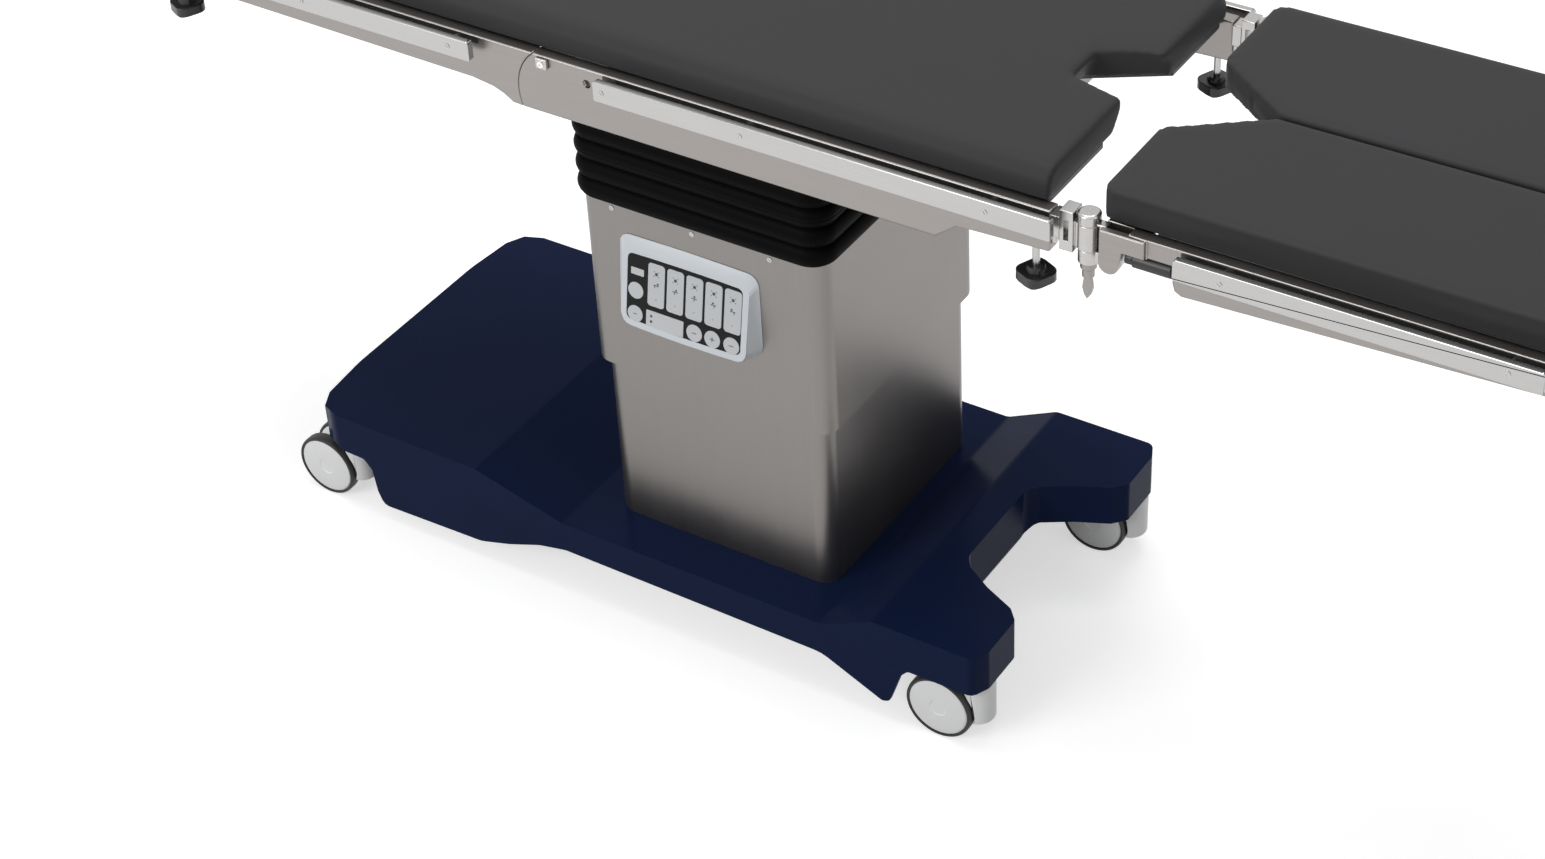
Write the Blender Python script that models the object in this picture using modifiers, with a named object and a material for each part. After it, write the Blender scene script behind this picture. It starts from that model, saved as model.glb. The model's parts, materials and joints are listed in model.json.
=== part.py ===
# Mobile operating table: base on four swivel casters, telescopic column, tilting top in sections.
# Metres, +Z up, +X towards the foot end, -Y the side with the control panel.
# Drawn about the column's centre line, then moved so that the whole table is centred on the origin.
import math

import bmesh
import bpy
from mathutils import Matrix

for old in list(bpy.data.objects):
    bpy.data.objects.remove(old, do_unlink=True)

# Clearances
face_gap = 0.0003
pin_gap = 0.0001

# Heights of the table top
pad_top = 0.952
pad_thick = 0.042
pad_bottom = pad_top - pad_thick
frame_top = pad_bottom - face_gap
board_thick = 0.0077
beam_top = frame_top - board_thick - face_gap
beam_bottom = frame_top - 0.0437

# Plan of the table top
frame_out = 0.250
frame_in = frame_out - 0.020
arm_mid = (frame_in + frame_out) / 2
pad_half = frame_out - 0.012
pad_edge = 0.024
board_half = frame_in - 0.0008
frame_head_end = -0.827
frame_foot_end = 0.544
back_pad_start = frame_head_end + 0.009
seat_pad_end = frame_foot_end - 0.009
leg_long = 0.573
leg_start = frame_foot_end + 0.055
leg_end = leg_start + leg_long
head_pad_long = 0.230

# Side rails
rail_tall = 0.0286
rail_thick = 0.0095
rail_stand_off = 0.0125
rail_inner = frame_out + rail_stand_off
rail_mid = frame_top - 0.0125
rail_screw_radius = 0.0075

# Joints of the table top
back_x, back_z = -0.150, frame_top - 0.0597
flex_start, flex_end = back_x - 0.100, back_x + 0.100
back_round = 0.076
back_seam_end = 200
back_pin_radius = 0.008
head_x, head_z = frame_head_end - 0.025, frame_top - 0.0357
head_pad_start = head_x - 0.030
head_end = head_pad_start - head_pad_long
head_pin_radius = 0.006
tilt_z = frame_top - 0.1097
tilt_pin_radius = 0.012
ear_round = 0.022
barrel_x = frame_foot_end + 0.046
barrel_radius = 0.014
barrel_pin_radius = 0.008
knee_x, knee_z = barrel_x + 0.033, frame_top - 0.0447
knee_round = 0.013
knee_pin_radius = 0.005
post_half = 0.006
sleeve_low, sleeve_high = knee_z + 0.005, knee_z + 0.040
block_x = frame_foot_end + 0.013
post_low, post_high = knee_z - 0.001, knee_z + 0.019
seat_knob_x = frame_foot_end - 0.023
head_knob_x = frame_head_end + 0.023
knob_radius = 0.024
knob_low, knob_high = post_low - 0.063, post_low - 0.042
stud_radius = 0.004

# Base
cover_half = 0.262
cover_wall = 0.005
cover_head = -0.688
cover_foot = 0.453
deck_high = 0.170
deck_low = 0.130
plate_top = deck_low - 0.006
plate_thick = 0.011

# Casters
wheel_radius = 0.050
wheel_wide = 0.019
twin_wide = 0.062
caster_head_x = cover_head + 0.007
caster_foot_x = cover_foot - 0.070
caster_y = cover_half - 0.039
swivel_trail = 0.025
cowl_trail = 0.046
cowl_radius = 0.0245
cowl_low = 0.037
cowl_high = plate_top - plate_thick - 0.001
axle_radius = 0.006
stem_radius = 0.008

# Column
lower_half_x, lower_half_y = 0.180, 0.190
upper_half_x, upper_half_y = 0.190, 0.198
column_corner = 0.027
column_wall = 0.002
upper_top = tilt_z - 0.129
upper_low = upper_top - 0.271
lower_top = upper_low + 0.070
bellows_half_x, bellows_half_y = 0.199, 0.207
bellows_top = frame_top - 0.0882
bellows_folds = 5
bellows_depth = 0.008
mast_half = 0.110
mast_wall = 0.012
inner_mast_half = mast_half - mast_wall - face_gap
rod_radius = 0.016

# Control panel
panel_xs = (-0.116, 0.084)
panel_flare = 0.010
panel_low, panel_high = upper_top - 0.168, upper_top - 0.054
panel_deep_low, panel_deep_high = 0.028, 0.008
window_xs = (-0.107, 0.074)
window_border_low, window_border_high = 0.0100, 0.0086
window_depth = 0.004
panel_bulge = 0.0025

saddle_head, saddle_foot = -lower_half_x - 0.049, lower_half_x + 0.025

centre_shift = -(head_end + leg_end) / 2


# Scene set-up
def collection_named(name):
    made = bpy.data.collections.new(name)
    bpy.context.scene.collection.children.link(made)
    return made


table = collection_named("operating_table")
cutters = collection_named("cutters")


def empty_at(name, place, parent=None):
    made = bpy.data.objects.new(name, None)
    table.objects.link(made)
    made.empty_display_size = 0.05
    made.parent = parent
    made.location = place
    return made


def material_named(name, colour, roughness, metallic):
    made = bpy.data.materials.new(name)
    made.use_nodes = True
    shader = made.node_tree.nodes["Principled BSDF"]
    shader.inputs["Base Color"].default_value = (*colour, 1)
    shader.inputs["Roughness"].default_value = roughness
    shader.inputs["Metallic"].default_value = metallic
    made.diffuse_color = (*colour, 1)
    return made


centre = empty_at("table_centre", (centre_shift, 0, 0))


# Shapes
def object_from(name, mesh):
    made = bpy.data.objects.new(name, mesh)
    table.objects.link(made)
    made.parent = centre
    return made


def mesh_of(source):
    """The shape of an object as it stands, as a plain closed mesh."""
    bpy.context.view_layer.update()
    graph = bpy.context.evaluated_depsgraph_get()
    mesh = bpy.data.meshes.new_from_object(source.evaluated_get(graph))
    mesh.transform(source.matrix_basis)
    work = bmesh.new()
    work.from_mesh(mesh)
    bmesh.ops.remove_doubles(work, verts=work.verts, dist=0.00001)
    bmesh.ops.recalc_face_normals(work, faces=work.faces)
    work.to_mesh(mesh)
    work.free()
    bpy.data.objects.remove(source, do_unlink=True)
    return mesh


def sheet(name, outlines, low, high, along="Z"):
    """A flat outline, with holes where there are further outlines, given thickness along an axis."""
    curve = bpy.data.curves.new(name, "CURVE")
    curve.dimensions = "2D"
    curve.fill_mode = "BOTH"
    curve.extrude = (high - low) / 2
    for outline in outlines:
        spline = curve.splines.new("POLY")
        spline.points.add(len(outline) - 1)
        for point, (u, v) in zip(spline.points, outline):
            point.co = (u, v, 0, 1)
        spline.use_cyclic_u = True
    made = bpy.data.objects.new(name, curve)
    table.objects.link(made)
    middle = (low + high) / 2
    if along == "Z":
        made.location = (0, 0, middle)
    elif along == "Y":
        made.rotation_euler = (math.pi / 2, 0, 0)
        made.location = (0, middle, 0)
    else:
        made.rotation_euler = (math.pi / 2, 0, math.pi / 2)
        made.location = (middle, 0, 0)
    return object_from(name, mesh_of(made))


def box(name, xs, ys, zs):
    work = bmesh.new()
    bmesh.ops.create_cube(work, size=1)
    bmesh.ops.scale(work, vec=(xs[1] - xs[0], ys[1] - ys[0], zs[1] - zs[0]), verts=work.verts)
    middle = (sum(xs) / 2, sum(ys) / 2, sum(zs) / 2)
    bmesh.ops.translate(work, vec=middle, verts=work.verts)
    mesh = bpy.data.meshes.new(name)
    work.to_mesh(mesh)
    work.free()
    return object_from(name, mesh)


def turned(name, profile, place, along="Z", steps=24):
    """A turned piece: (radius, height) points from top to bottom, spun about an axis through place."""
    mesh = bpy.data.meshes.new(name)
    points = [(radius, 0, height) for radius, height in profile]
    mesh.from_pydata(points, [(i, i + 1) for i in range(len(points) - 1)], [])
    made = bpy.data.objects.new(name, mesh)
    table.objects.link(made)
    spin = made.modifiers.new("Screw", "SCREW")
    spin.steps = steps
    spin.render_steps = steps
    spin.use_merge_vertices = True
    spin.merge_threshold = 0.0001
    made.location = place
    if along == "Y":
        made.rotation_euler = (-math.pi / 2, 0, 0)
    elif along == "X":
        made.rotation_euler = (0, math.pi / 2, 0)
    return object_from(name, mesh_of(made))


def cylinder(name, radius, place, low, high, along="Z", steps=24):
    return turned(name, [(0, high), (radius, high), (radius, low), (0, low)], place, along, steps)


def arc(x, z, radius, start, end, steps):
    """Points on a circle from one angle to another, in degrees."""
    angles = [math.radians(start + (end - start) * i / steps) for i in range(steps + 1)]
    return [(x + radius * math.cos(a), z + radius * math.sin(a)) for a in angles]


def rounded(outline, radii, steps=4):
    """The outline with each corner replaced by an arc of its radius."""
    found = []
    count = len(outline)
    for i, (corner, radius) in enumerate(zip(outline, radii)):
        before, after = outline[i - 1], outline[(i + 1) % count]
        if radius <= 0:
            found.append(corner)
            continue
        a = (before[0] - corner[0], before[1] - corner[1])
        b = (after[0] - corner[0], after[1] - corner[1])
        la, lb = math.hypot(*a), math.hypot(*b)
        a = (a[0] / la, a[1] / la)
        b = (b[0] / lb, b[1] / lb)
        half = math.acos(max(-1, min(1, a[0] * b[0] + a[1] * b[1]))) / 2
        reach = min(radius / math.tan(half), la * 0.49, lb * 0.49)
        radius = reach * math.tan(half)
        bisect = (a[0] + b[0], a[1] + b[1])
        size = math.hypot(*bisect)
        out = radius / math.sin(half)
        middle = (corner[0] + bisect[0] / size * out, corner[1] + bisect[1] / size * out)
        first = (corner[0] + a[0] * reach - middle[0], corner[1] + a[1] * reach - middle[1])
        last = (corner[0] + b[0] * reach - middle[0], corner[1] + b[1] * reach - middle[1])
        start = math.atan2(first[1], first[0])
        turn = math.atan2(last[1], last[0]) - start
        turn = (turn + math.pi) % (2 * math.pi) - math.pi
        for k in range(steps + 1):
            angle = start + turn * k / steps
            found.append((middle[0] + radius * math.cos(angle), middle[1] + radius * math.sin(angle)))
    return found


def inset(outline, distance):
    """An anticlockwise outline moved inwards by a distance."""
    found = []
    count = len(outline)
    for i, (x, y) in enumerate(outline):
        ax, ay = x - outline[i - 1][0], y - outline[i - 1][1]
        bx, by = outline[(i + 1) % count][0] - x, outline[(i + 1) % count][1] - y
        la, lb = math.hypot(ax, ay), math.hypot(bx, by)
        na = (-ay / la, ax / la)
        nb = (-by / lb, bx / lb)
        scale = distance / (1 + na[0] * nb[0] + na[1] * nb[1])
        found.append((x + (na[0] + nb[0]) * scale, y + (na[1] + nb[1]) * scale))
    return found


def rectangle(half_x, half_y, corner=0.0, steps=4):
    points = [(half_x, -half_y), (half_x, half_y), (-half_x, half_y), (-half_x, -half_y)]
    return rounded(points, [corner] * 4, steps) if corner else points


def boolean(target, other, operation):
    cutters.objects.link(other)
    table.objects.unlink(other)
    other.hide_render = True
    other.display_type = "WIRE"
    step = target.modifiers.new("Boolean", "BOOLEAN")
    step.operation = operation
    step.solver = "EXACT"
    step.object = other


def cut(target, *others):
    for other in others:
        boolean(target, other, "DIFFERENCE")


def join(target, *others):
    for other in others:
        boolean(target, other, "UNION")


def keep_common(target, other):
    boolean(target, other, "INTERSECT")


def bevel(target, width, segments=2, angle=35):
    step = target.modifiers.new("Bevel", "BEVEL")
    step.width = width
    step.segments = segments
    step.limit_method = "ANGLE"
    step.angle_limit = math.radians(angle)
    step.use_clamp_overlap = True
    return step


def smooth(target, angle=40):
    for face in target.data.polygons:
        face.use_smooth = True
    step = target.modifiers.new("Weld", "WELD")
    step.merge_threshold = 0.00001
    target.data.set_sharp_from_angle(angle=math.radians(angle))


def settle(target, carrier, material):
    """Hangs a piece on its carrier without moving it, and gives it its material."""
    target.data.materials.clear()
    target.data.materials.append(material)
    if carrier is not centre:
        target.parent = carrier
        place = carrier.location.copy()
        above = carrier.parent
        while above is not None and above is not centre:
            place += above.location
            above = above.parent
        target.location = -place
    return target


def span(side, low, high):
    """A stretch of |y| on one side, as (low y, high y)."""
    return (-high, -low) if side < 0 else (low, high)


# Carriers: one empty on each joint's axis
lift = empty_at("lift_carrier", (0, 0, 0), centre)
cradle = empty_at("tilt_carrier", (0, 0, tilt_z), lift)
top = empty_at("top_carrier", (0, 0, 0), cradle)
back = empty_at("back_carrier", (back_x, 0, back_z - tilt_z), top)
head = empty_at("head_carrier", (head_x - back_x, 0, head_z - back_z), back)

# Colours
navy = material_named("navy_moulding", (0.006, 0.013, 0.06), 0.25, 0.0)
steel_sheet = material_named("brushed_steel_sheet", (0.45, 0.43, 0.41), 0.32, 1.0)
steel_frame = material_named("satin_steel", (0.55, 0.53, 0.50), 0.38, 1.0)
steel_rail = material_named("bright_steel", (0.72, 0.71, 0.69), 0.25, 1.0)
dark_steel = material_named("dark_chassis_steel", (0.10, 0.10, 0.11), 0.5, 0.6)
chrome = material_named("chrome", (0.8, 0.8, 0.8), 0.12, 1.0)
white_plastic = material_named("white_plastic", (0.80, 0.81, 0.82), 0.4, 0.0)
pale_grey = material_named("pale_grey_plastic", (0.62, 0.66, 0.70), 0.4, 0.0)
black_plastic = material_named("black_plastic", (0.012, 0.012, 0.013), 0.4, 0.0)
black_rubber = material_named("black_rubber", (0.01, 0.01, 0.01), 0.6, 0.0)
pad_cover = material_named("charcoal_pad_cover", (0.062, 0.062, 0.065), 0.6, 0.0)


# Base cover: one moulding, deep round the column and high over the casters
def cover_plan(distance=0.0):
    """The outline from above, moved inwards by a distance."""
    half = cover_half
    foot = cover_foot
    notch = 0.120
    points = [
        (cover_head + 0.012, -half), (foot - 0.012, -half), (foot, -half + 0.026),
        (foot, -0.165), (foot - 0.017, -0.146), (foot - 0.065, -0.124),
        (foot - 0.106, -0.099), (foot - notch, -0.080), (foot - notch, 0.080),
        (foot - 0.106, 0.099), (foot - 0.065, 0.124), (foot - 0.017, 0.146),
        (foot, 0.165), (foot, half - 0.026), (foot - 0.012, half),
        (cover_head + 0.012, half), (cover_head, 0.140), (cover_head, -0.140),
    ]
    radii = [0.045, 0.012, 0.012, 0.010, 0.008, 0, 0.01, 0.022, 0.022, 0.01, 0, 0.008, 0.010,
             0.012, 0.012, 0.045, 0.2, 0.2]
    if distance:
        points = inset(points, distance)
        radii = [max(radius - distance, 0) for radius in radii]
    return rounded(points, radii, 2)


def cover_side():
    """The outline from the near side: an arch over each caster and a wave in the skirt between them."""
    head, foot = caster_head_x, caster_foot_x
    points = [
        (cover_head - 0.01, deck_high), (cover_head - 0.01, 0.118), (head + 0.026, 0.110),
        (head + 0.056, 0.105), (head + 0.088, 0.104), (head + 0.101, 0.088), (head + 0.106, 0.050),
        (head + 0.115, 0.027), (-0.384, 0.032),
        (-0.331, 0.048), (-0.274, 0.070), (-0.227, 0.080), (0.204, 0.077), (0.249, 0.056),
        (foot - 0.083, 0.032), (foot - 0.071, 0.036), (foot - 0.052, 0.092), (foot - 0.041, 0.104),
        (cover_foot + 0.01, 0.104), (cover_foot + 0.01, deck_high), (saddle_foot + 0.081, deck_high),
        (saddle_foot, deck_low), (saddle_head, deck_low), (saddle_head - 0.149, deck_high),
    ]
    radii = [0, 0, 0, 0, 0.01, 0, 0.02, 0.012, 0.05, 0.08, 0.08, 0.04, 0.05, 0.05, 0.006, 0.01, 0.01,
             0.008, 0, 0, 0.02, 0.02, 0.02, 0.02]
    return rounded(points, radii, 2)


def cover_hollow_side():
    wall = cover_wall
    return [
        (cover_head - 0.01, deck_high - wall), (cover_head - 0.01, 0.0), (cover_foot + 0.01, 0.0),
        (cover_foot + 0.01, deck_high - wall), (saddle_foot + 0.082, deck_high - wall),
        (saddle_foot + 0.001, deck_low - wall), (saddle_head - 0.001, deck_low - wall),
        (saddle_head - 0.150, deck_high - wall),
    ]


def build_base_cover():
    cover = sheet("base_cover", [cover_side()], -0.30, 0.30, "Y")
    keep_common(cover, sheet("cover_outline", [cover_plan()], 0.0, 0.2))
    bevel(cover, 0.003, 2, 50)
    hollow = sheet("cover_hollow", [cover_hollow_side()], -0.29, 0.29, "Y")
    keep_common(hollow, sheet("hollow_outline", [cover_plan(cover_wall)], -0.01, 0.19))
    cut(cover, hollow)
    cut(cover, sheet("column_hole", [rectangle(0.155, 0.155, 0.01)], 0.10, 0.14))
    smooth(cover)
    settle(cover, centre, navy)


def build_chassis():
    edge = cover_wall + 0.006
    plate = sheet("base_chassis", [cover_plan(edge)], plate_top - plate_thick, plate_top)
    channels = []
    for side in (-1, 1):
        ys = span(side, caster_y - 0.073, caster_y - 0.023)
        channels.append(box("channel", (-0.540, 0.280), ys, (0.088, plate_top - plate_thick + 0.001)))
    join(plate, *channels)
    for x in (caster_head_x, caster_foot_x):
        for side in (-1, 1):
            place = (x + swivel_trail, side * caster_y, 0)
            cut(plate, cylinder("stem_bore", stem_radius + pin_gap, place, 0.10, 0.13))
    settle(plate, centre, dark_steel)


def build_base_units():
    under = plate_top - plate_thick - face_gap
    power = box("power_unit", (-0.370, -0.210), (-0.110, 0.110), (0.085, under))
    bevel(power, 0.004)
    settle(power, centre, black_plastic)
    battery = box("battery_pack", (-0.530, -0.390), (-0.120, 0.120), (0.050, under))
    bevel(battery, 0.004)
    settle(battery, centre, pale_grey)


# Casters: a cowl that swivels under the base and a twin wheel on its axle
def caster_web(x, y):
    points = arc(x, wheel_radius, 0.014, 90, 270, 8)
    high = cowl_high - 0.0025
    points += [(x + cowl_trail, cowl_low), (x + cowl_trail, high), (x + 0.006, high)]
    return sheet("web", [points], y - 0.011, y + 0.011, "Y")


def build_caster(x, side, end_name):
    name = end_name + ("_near" if side < 0 else "_far")
    y = side * caster_y
    swivel = empty_at("swivel_" + name, (x + swivel_trail, y, 0), centre)
    axle_carrier = empty_at("axle_" + name, (-swivel_trail, 0, wheel_radius), swivel)

    place, high = (x + cowl_trail, y, 0), wheel_radius * 2 + 0.0034
    hood = cylinder("caster_hood_" + name, cowl_radius, place, cowl_low, high)
    bevel(hood, 0.003, 2, 50)
    for face in (-1, 1):
        room = span(face, 0.0115, 0.040)
        cut(hood, cylinder("wheel_room", wheel_radius + 0.002, (x, y, wheel_radius), *room, "Y", 36))
    join(hood, caster_web(x, y))
    profile = [
        (0, plate_top - 0.001), (stem_radius, plate_top - 0.001), (stem_radius, cowl_high - 0.001),
        (0.021, cowl_high - 0.001), (0.021, wheel_radius * 2 + 0.0025), (0, wheel_radius * 2 + 0.0025),
    ]
    join(hood, turned("stem", profile, (x + swivel_trail, y, 0)))
    cut(hood, cylinder("axle_bore", axle_radius + pin_gap, (x, y, wheel_radius), -0.05, 0.05, "Y"))
    settle(hood, swivel, white_plastic)

    half = twin_wide / 2
    r = wheel_radius
    inner = half - wheel_wide
    profile = [
        (0, half), (r - 0.003, half), (r, half - 0.004), (r, inner + 0.004), (r - 0.003, inner),
        (axle_radius, inner), (axle_radius, -inner), (r - 0.003, -inner), (r, -inner - 0.004),
        (r, -half + 0.004), (r - 0.003, -half), (0, -half),
    ]
    wheels = turned("caster_wheels_" + name, profile, (x, y, wheel_radius), "Y", 36)
    settle(wheels, axle_carrier, white_plastic)


# Column: two sheet-steel covers round a square mast with a lifting cylinder inside
def tube(name, half_x, half_y, corner, wall, low, high, steps=4):
    outer = rectangle(half_x, half_y, corner, steps)
    inner = rectangle(half_x - wall, half_y - wall, max(corner - wall, 0), steps)
    return sheet(name, [outer, inner], low, high)


def build_column_base():
    low = deck_low + face_gap
    plan = (lower_half_x, lower_half_y, column_corner, column_wall)
    cover = tube("column_lower_cover", *plan, low, lower_top, 6)
    settle(cover, centre, steel_sheet)
    mast = tube("mast_outer", mast_half, mast_half, 0.015, mast_wall, plate_top + 0.001, lower_top - 0.010)
    flange = tube("mast_flange", 0.148, 0.148, 0.01, 0.148 - mast_half + 0.005, plate_top + face_gap, 0.138)
    join(mast, flange)
    settle(mast, centre, dark_steel)
    foot = plate_top + face_gap
    rim = lower_top - 0.015
    bore = rod_radius + pin_gap
    profile = [
        (0, foot + 0.012), (bore, foot + 0.012), (bore, rim), (0.030, rim),
        (0.030, foot + 0.014), (0.046, foot + 0.012), (0.046, foot), (0, foot),
    ]
    settle(turned("lift_cylinder_barrel", profile, (0, 0, 0), "Z", 32), centre, dark_steel)


def build_carriage():
    plate_low = tilt_z - 0.078
    half, high = inner_mast_half, plate_low - face_gap
    mast = tube("mast_inner", half, half, 0.010, 0.010, lower_top - 0.085, high)
    settle(mast, lift, steel_frame)
    rod = cylinder("lift_cylinder_rod", rod_radius, (0, 0, 0), lower_top - 0.070, high, "Z", 32)
    settle(rod, lift, chrome)

    plate_high = plate_low + 0.010
    reach_x = upper_half_x - column_wall - face_gap
    reach_y = upper_half_y - column_wall - face_gap
    plan = [
        (reach_x, -0.075), (reach_x, 0.075), (0.085, reach_y), (-0.085, reach_y),
        (-reach_x, 0.075), (-reach_x, -0.075), (-0.085, -reach_y), (0.085, -reach_y),
    ]
    crosshead = sheet("crosshead", [plan], plate_low, plate_high)
    strap_zs = (upper_top - 0.071, plate_low + 0.001)
    for side in (-1, 1):
        xs = span(side, reach_x - 0.0040, reach_x - 0.0004)
        ys = span(side, reach_y - 0.0035, reach_y - 0.0004)
        join(crosshead, box("strap_x", xs, (-0.06, 0.06), strap_zs))
        join(crosshead, box("strap_y", (-0.06, 0.06), ys, strap_zs))
        ear = arc(0, tilt_z, ear_round, 0, 180, 10)
        ear += [(-ear_round - 0.006, plate_high - 0.001), (ear_round + 0.006, plate_high - 0.001)]
        join(crosshead, sheet("fork_ear", [ear], *span(side, 0.062, 0.078), "X"))
    cut(crosshead, cylinder("tilt_bore", tilt_pin_radius + pin_gap, (0, 0, tilt_z), -0.1, 0.1, "X", 32))
    settle(crosshead, lift, dark_steel)


def build_upper_cover():
    plan = (upper_half_x, upper_half_y, column_corner, column_wall)
    cover = tube("column_upper_cover", *plan, upper_low, upper_top, 6)
    settle(cover, lift, steel_sheet)


def build_bellows():
    """A rounded rectangular hoop of edges, drawn up fold by fold, then given its thickness."""
    work = bmesh.new()
    corner = 0.035
    base = rectangle(bellows_half_x, bellows_half_y, corner, 3)
    depth = bellows_depth
    folds = bellows_folds
    low, high = upper_top + 0.0018, bellows_top
    levels = [(low, depth)]
    for i in range(folds):
        start = low + (high - low) * i / folds
        tall = (high - low) / folds
        levels += [(start + tall * 0.30, 0), (start + tall * 0.72, 0), (start + tall, depth)]
    squeeze_x, squeeze_y = 1 - depth / bellows_half_x, 1 - depth / bellows_half_y
    first = [work.verts.new((x * squeeze_x, y * squeeze_y, low)) for x, y in base]
    edges = [work.edges.new((first[i - 1], first[i])) for i in range(len(first))]
    for z, back_in in levels[1:]:
        grown = bmesh.ops.extrude_edge_only(work, edges=edges)
        points = [item for item in grown["geom"] if isinstance(item, bmesh.types.BMVert)]
        edges = [item for item in grown["geom"] if isinstance(item, bmesh.types.BMEdge)]
        for point in points:
            nearest = min(base, key=lambda b: math.dist(b, (point.co.x, point.co.y)))
            point.co.x = nearest[0] * (1 - back_in / bellows_half_x)
            point.co.y = nearest[1] * (1 - back_in / bellows_half_y)
            point.co.z = z
    mesh = bpy.data.meshes.new("bellows")
    work.to_mesh(mesh)
    work.free()
    bellows = object_from("bellows", mesh)
    skin = bellows.modifiers.new("Solidify", "SOLIDIFY")
    skin.thickness = 0.0018
    skin.offset = 1
    settle(bellows, lift, black_rubber)


# Control panel: a pale housing with sloping sides, whose face leans back, and a keypad let into that face
def panel_outline(xs, zs, corner, bulge):
    """A rounded rectangle whose lower and upper edges bow outwards in the middle."""
    middle, half = (xs[0] + xs[1]) / 2, (xs[1] - xs[0]) / 2
    bows = [(share, bulge * (1 - share * share)) for share in (-0.5, 0.0, 0.5)]
    points = [(xs[0], zs[0])] + [(middle + half * share, zs[0] - rise) for share, rise in bows]
    points += [(xs[1], zs[0]), (xs[1], zs[1])]
    points += [(middle - half * share, zs[1] + rise * 0.5) for share, rise in bows] + [(xs[0], zs[1])]
    return rounded(points, [corner, 0, 0, 0, corner, corner, 0, 0, 0, corner], 4)


def face_y(z):
    """How far out the leaning face stands at a height."""
    share = (z - panel_low) / (panel_high - panel_low)
    return -upper_half_y - panel_deep_low + (panel_deep_low - panel_deep_high) * share


def leaning_sheet(name, grow, depth_low, depth_high):
    """A rounded plate in the plane of the face; the depths are measured into the housing."""
    tall = panel_high - panel_low
    lean = math.atan2(panel_deep_low - panel_deep_high, tall)
    half = tall / math.cos(lean) / 2
    xs = (window_xs[0] - grow, window_xs[1] + grow)
    zs = (-half + window_border_low - grow, half - window_border_high + grow)
    outline = panel_outline(xs, zs, 0.008 + grow, panel_bulge)
    made = sheet(name, [outline], depth_low, depth_high, "Y")
    middle = (panel_low + panel_high) / 2
    made.data.transform(Matrix.Translation((0, face_y(middle), middle)) @ Matrix.Rotation(-lean, 4, "X"))
    return made


def build_panel():
    back_y = -upper_half_y - face_gap
    flare = panel_flare
    xs = (panel_xs[0] - flare, panel_xs[1] + flare)
    zs = (panel_low - 0.003, panel_high + flare + 0.004)
    outline = panel_outline(xs, zs, 0.018, panel_bulge)
    housing = sheet("panel_housing", [outline], back_y - 0.004, back_y, "Y")
    middle_x, middle_z = sum(xs) / 2, sum(zs) / 2
    for point in housing.data.vertices:
        if point.co.y < back_y - 0.002:
            point.co.x = middle_x + (point.co.x - middle_x) * (panel_xs[1] - panel_xs[0]) / (xs[1] - xs[0])
            share = (point.co.z - zs[0]) / (zs[1] - zs[0])
            point.co.z = panel_low + (panel_high - panel_low) * share
            point.co.y = face_y(point.co.z)
    bevel(housing, 0.0035, 2, 50)
    cut(housing, leaning_sheet("window", 0, -0.010, window_depth))
    settle(housing, lift, pale_grey)
    keypad = leaning_sheet("keypad", -face_gap, -0.0005, window_depth - face_gap)
    settle(keypad, lift, black_plastic)


# Tilt cradle: a cross with two trunnions for the side tilt and two for the lengthwise tilt
def build_cradle():
    block = box("tilt_cradle", (-0.045, 0.045), (-0.060, 0.060), (tilt_z - 0.020, tilt_z + 0.020))
    bevel(block, 0.005)
    join(block, cylinder("trunnion_x", tilt_pin_radius, (0, 0, tilt_z), -0.082, 0.082, "X", 32))
    join(block, cylinder("trunnion_y", tilt_pin_radius, (0, 0, tilt_z), -0.102, 0.102, "Y", 32))
    settle(block, cradle, dark_steel)


# Seat section
def seat_side():
    angle = math.degrees(math.asin((frame_top - back_z) / back_round))
    points = arc(back_x, back_z, back_round, 180 - angle, back_seam_end, 12)
    points += [(frame_foot_end - 0.155, frame_top - 0.0857), (frame_foot_end - 0.125, frame_top - 0.0617)]
    points += [(frame_foot_end, frame_top - 0.0567), (frame_foot_end, frame_top)]
    return points


def post_pocket(x_low, x_high, side):
    ys = span(side, arm_mid - post_half - face_gap, arm_mid + post_half + face_gap)
    return box("post_pocket", (x_low, x_high), ys, (post_low - face_gap, post_high + face_gap))


def stud_hole(x, side):
    place = (x, side * arm_mid, 0)
    return cylinder("stud_hole", stud_radius + pin_gap, place, post_low - 0.044, post_low + 0.001)


def frame_beam(x_low, x_high, low=beam_bottom):
    half = frame_in + 0.001
    return box("beam", (x_low, x_high), (-half, half), (low, beam_top))


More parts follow.
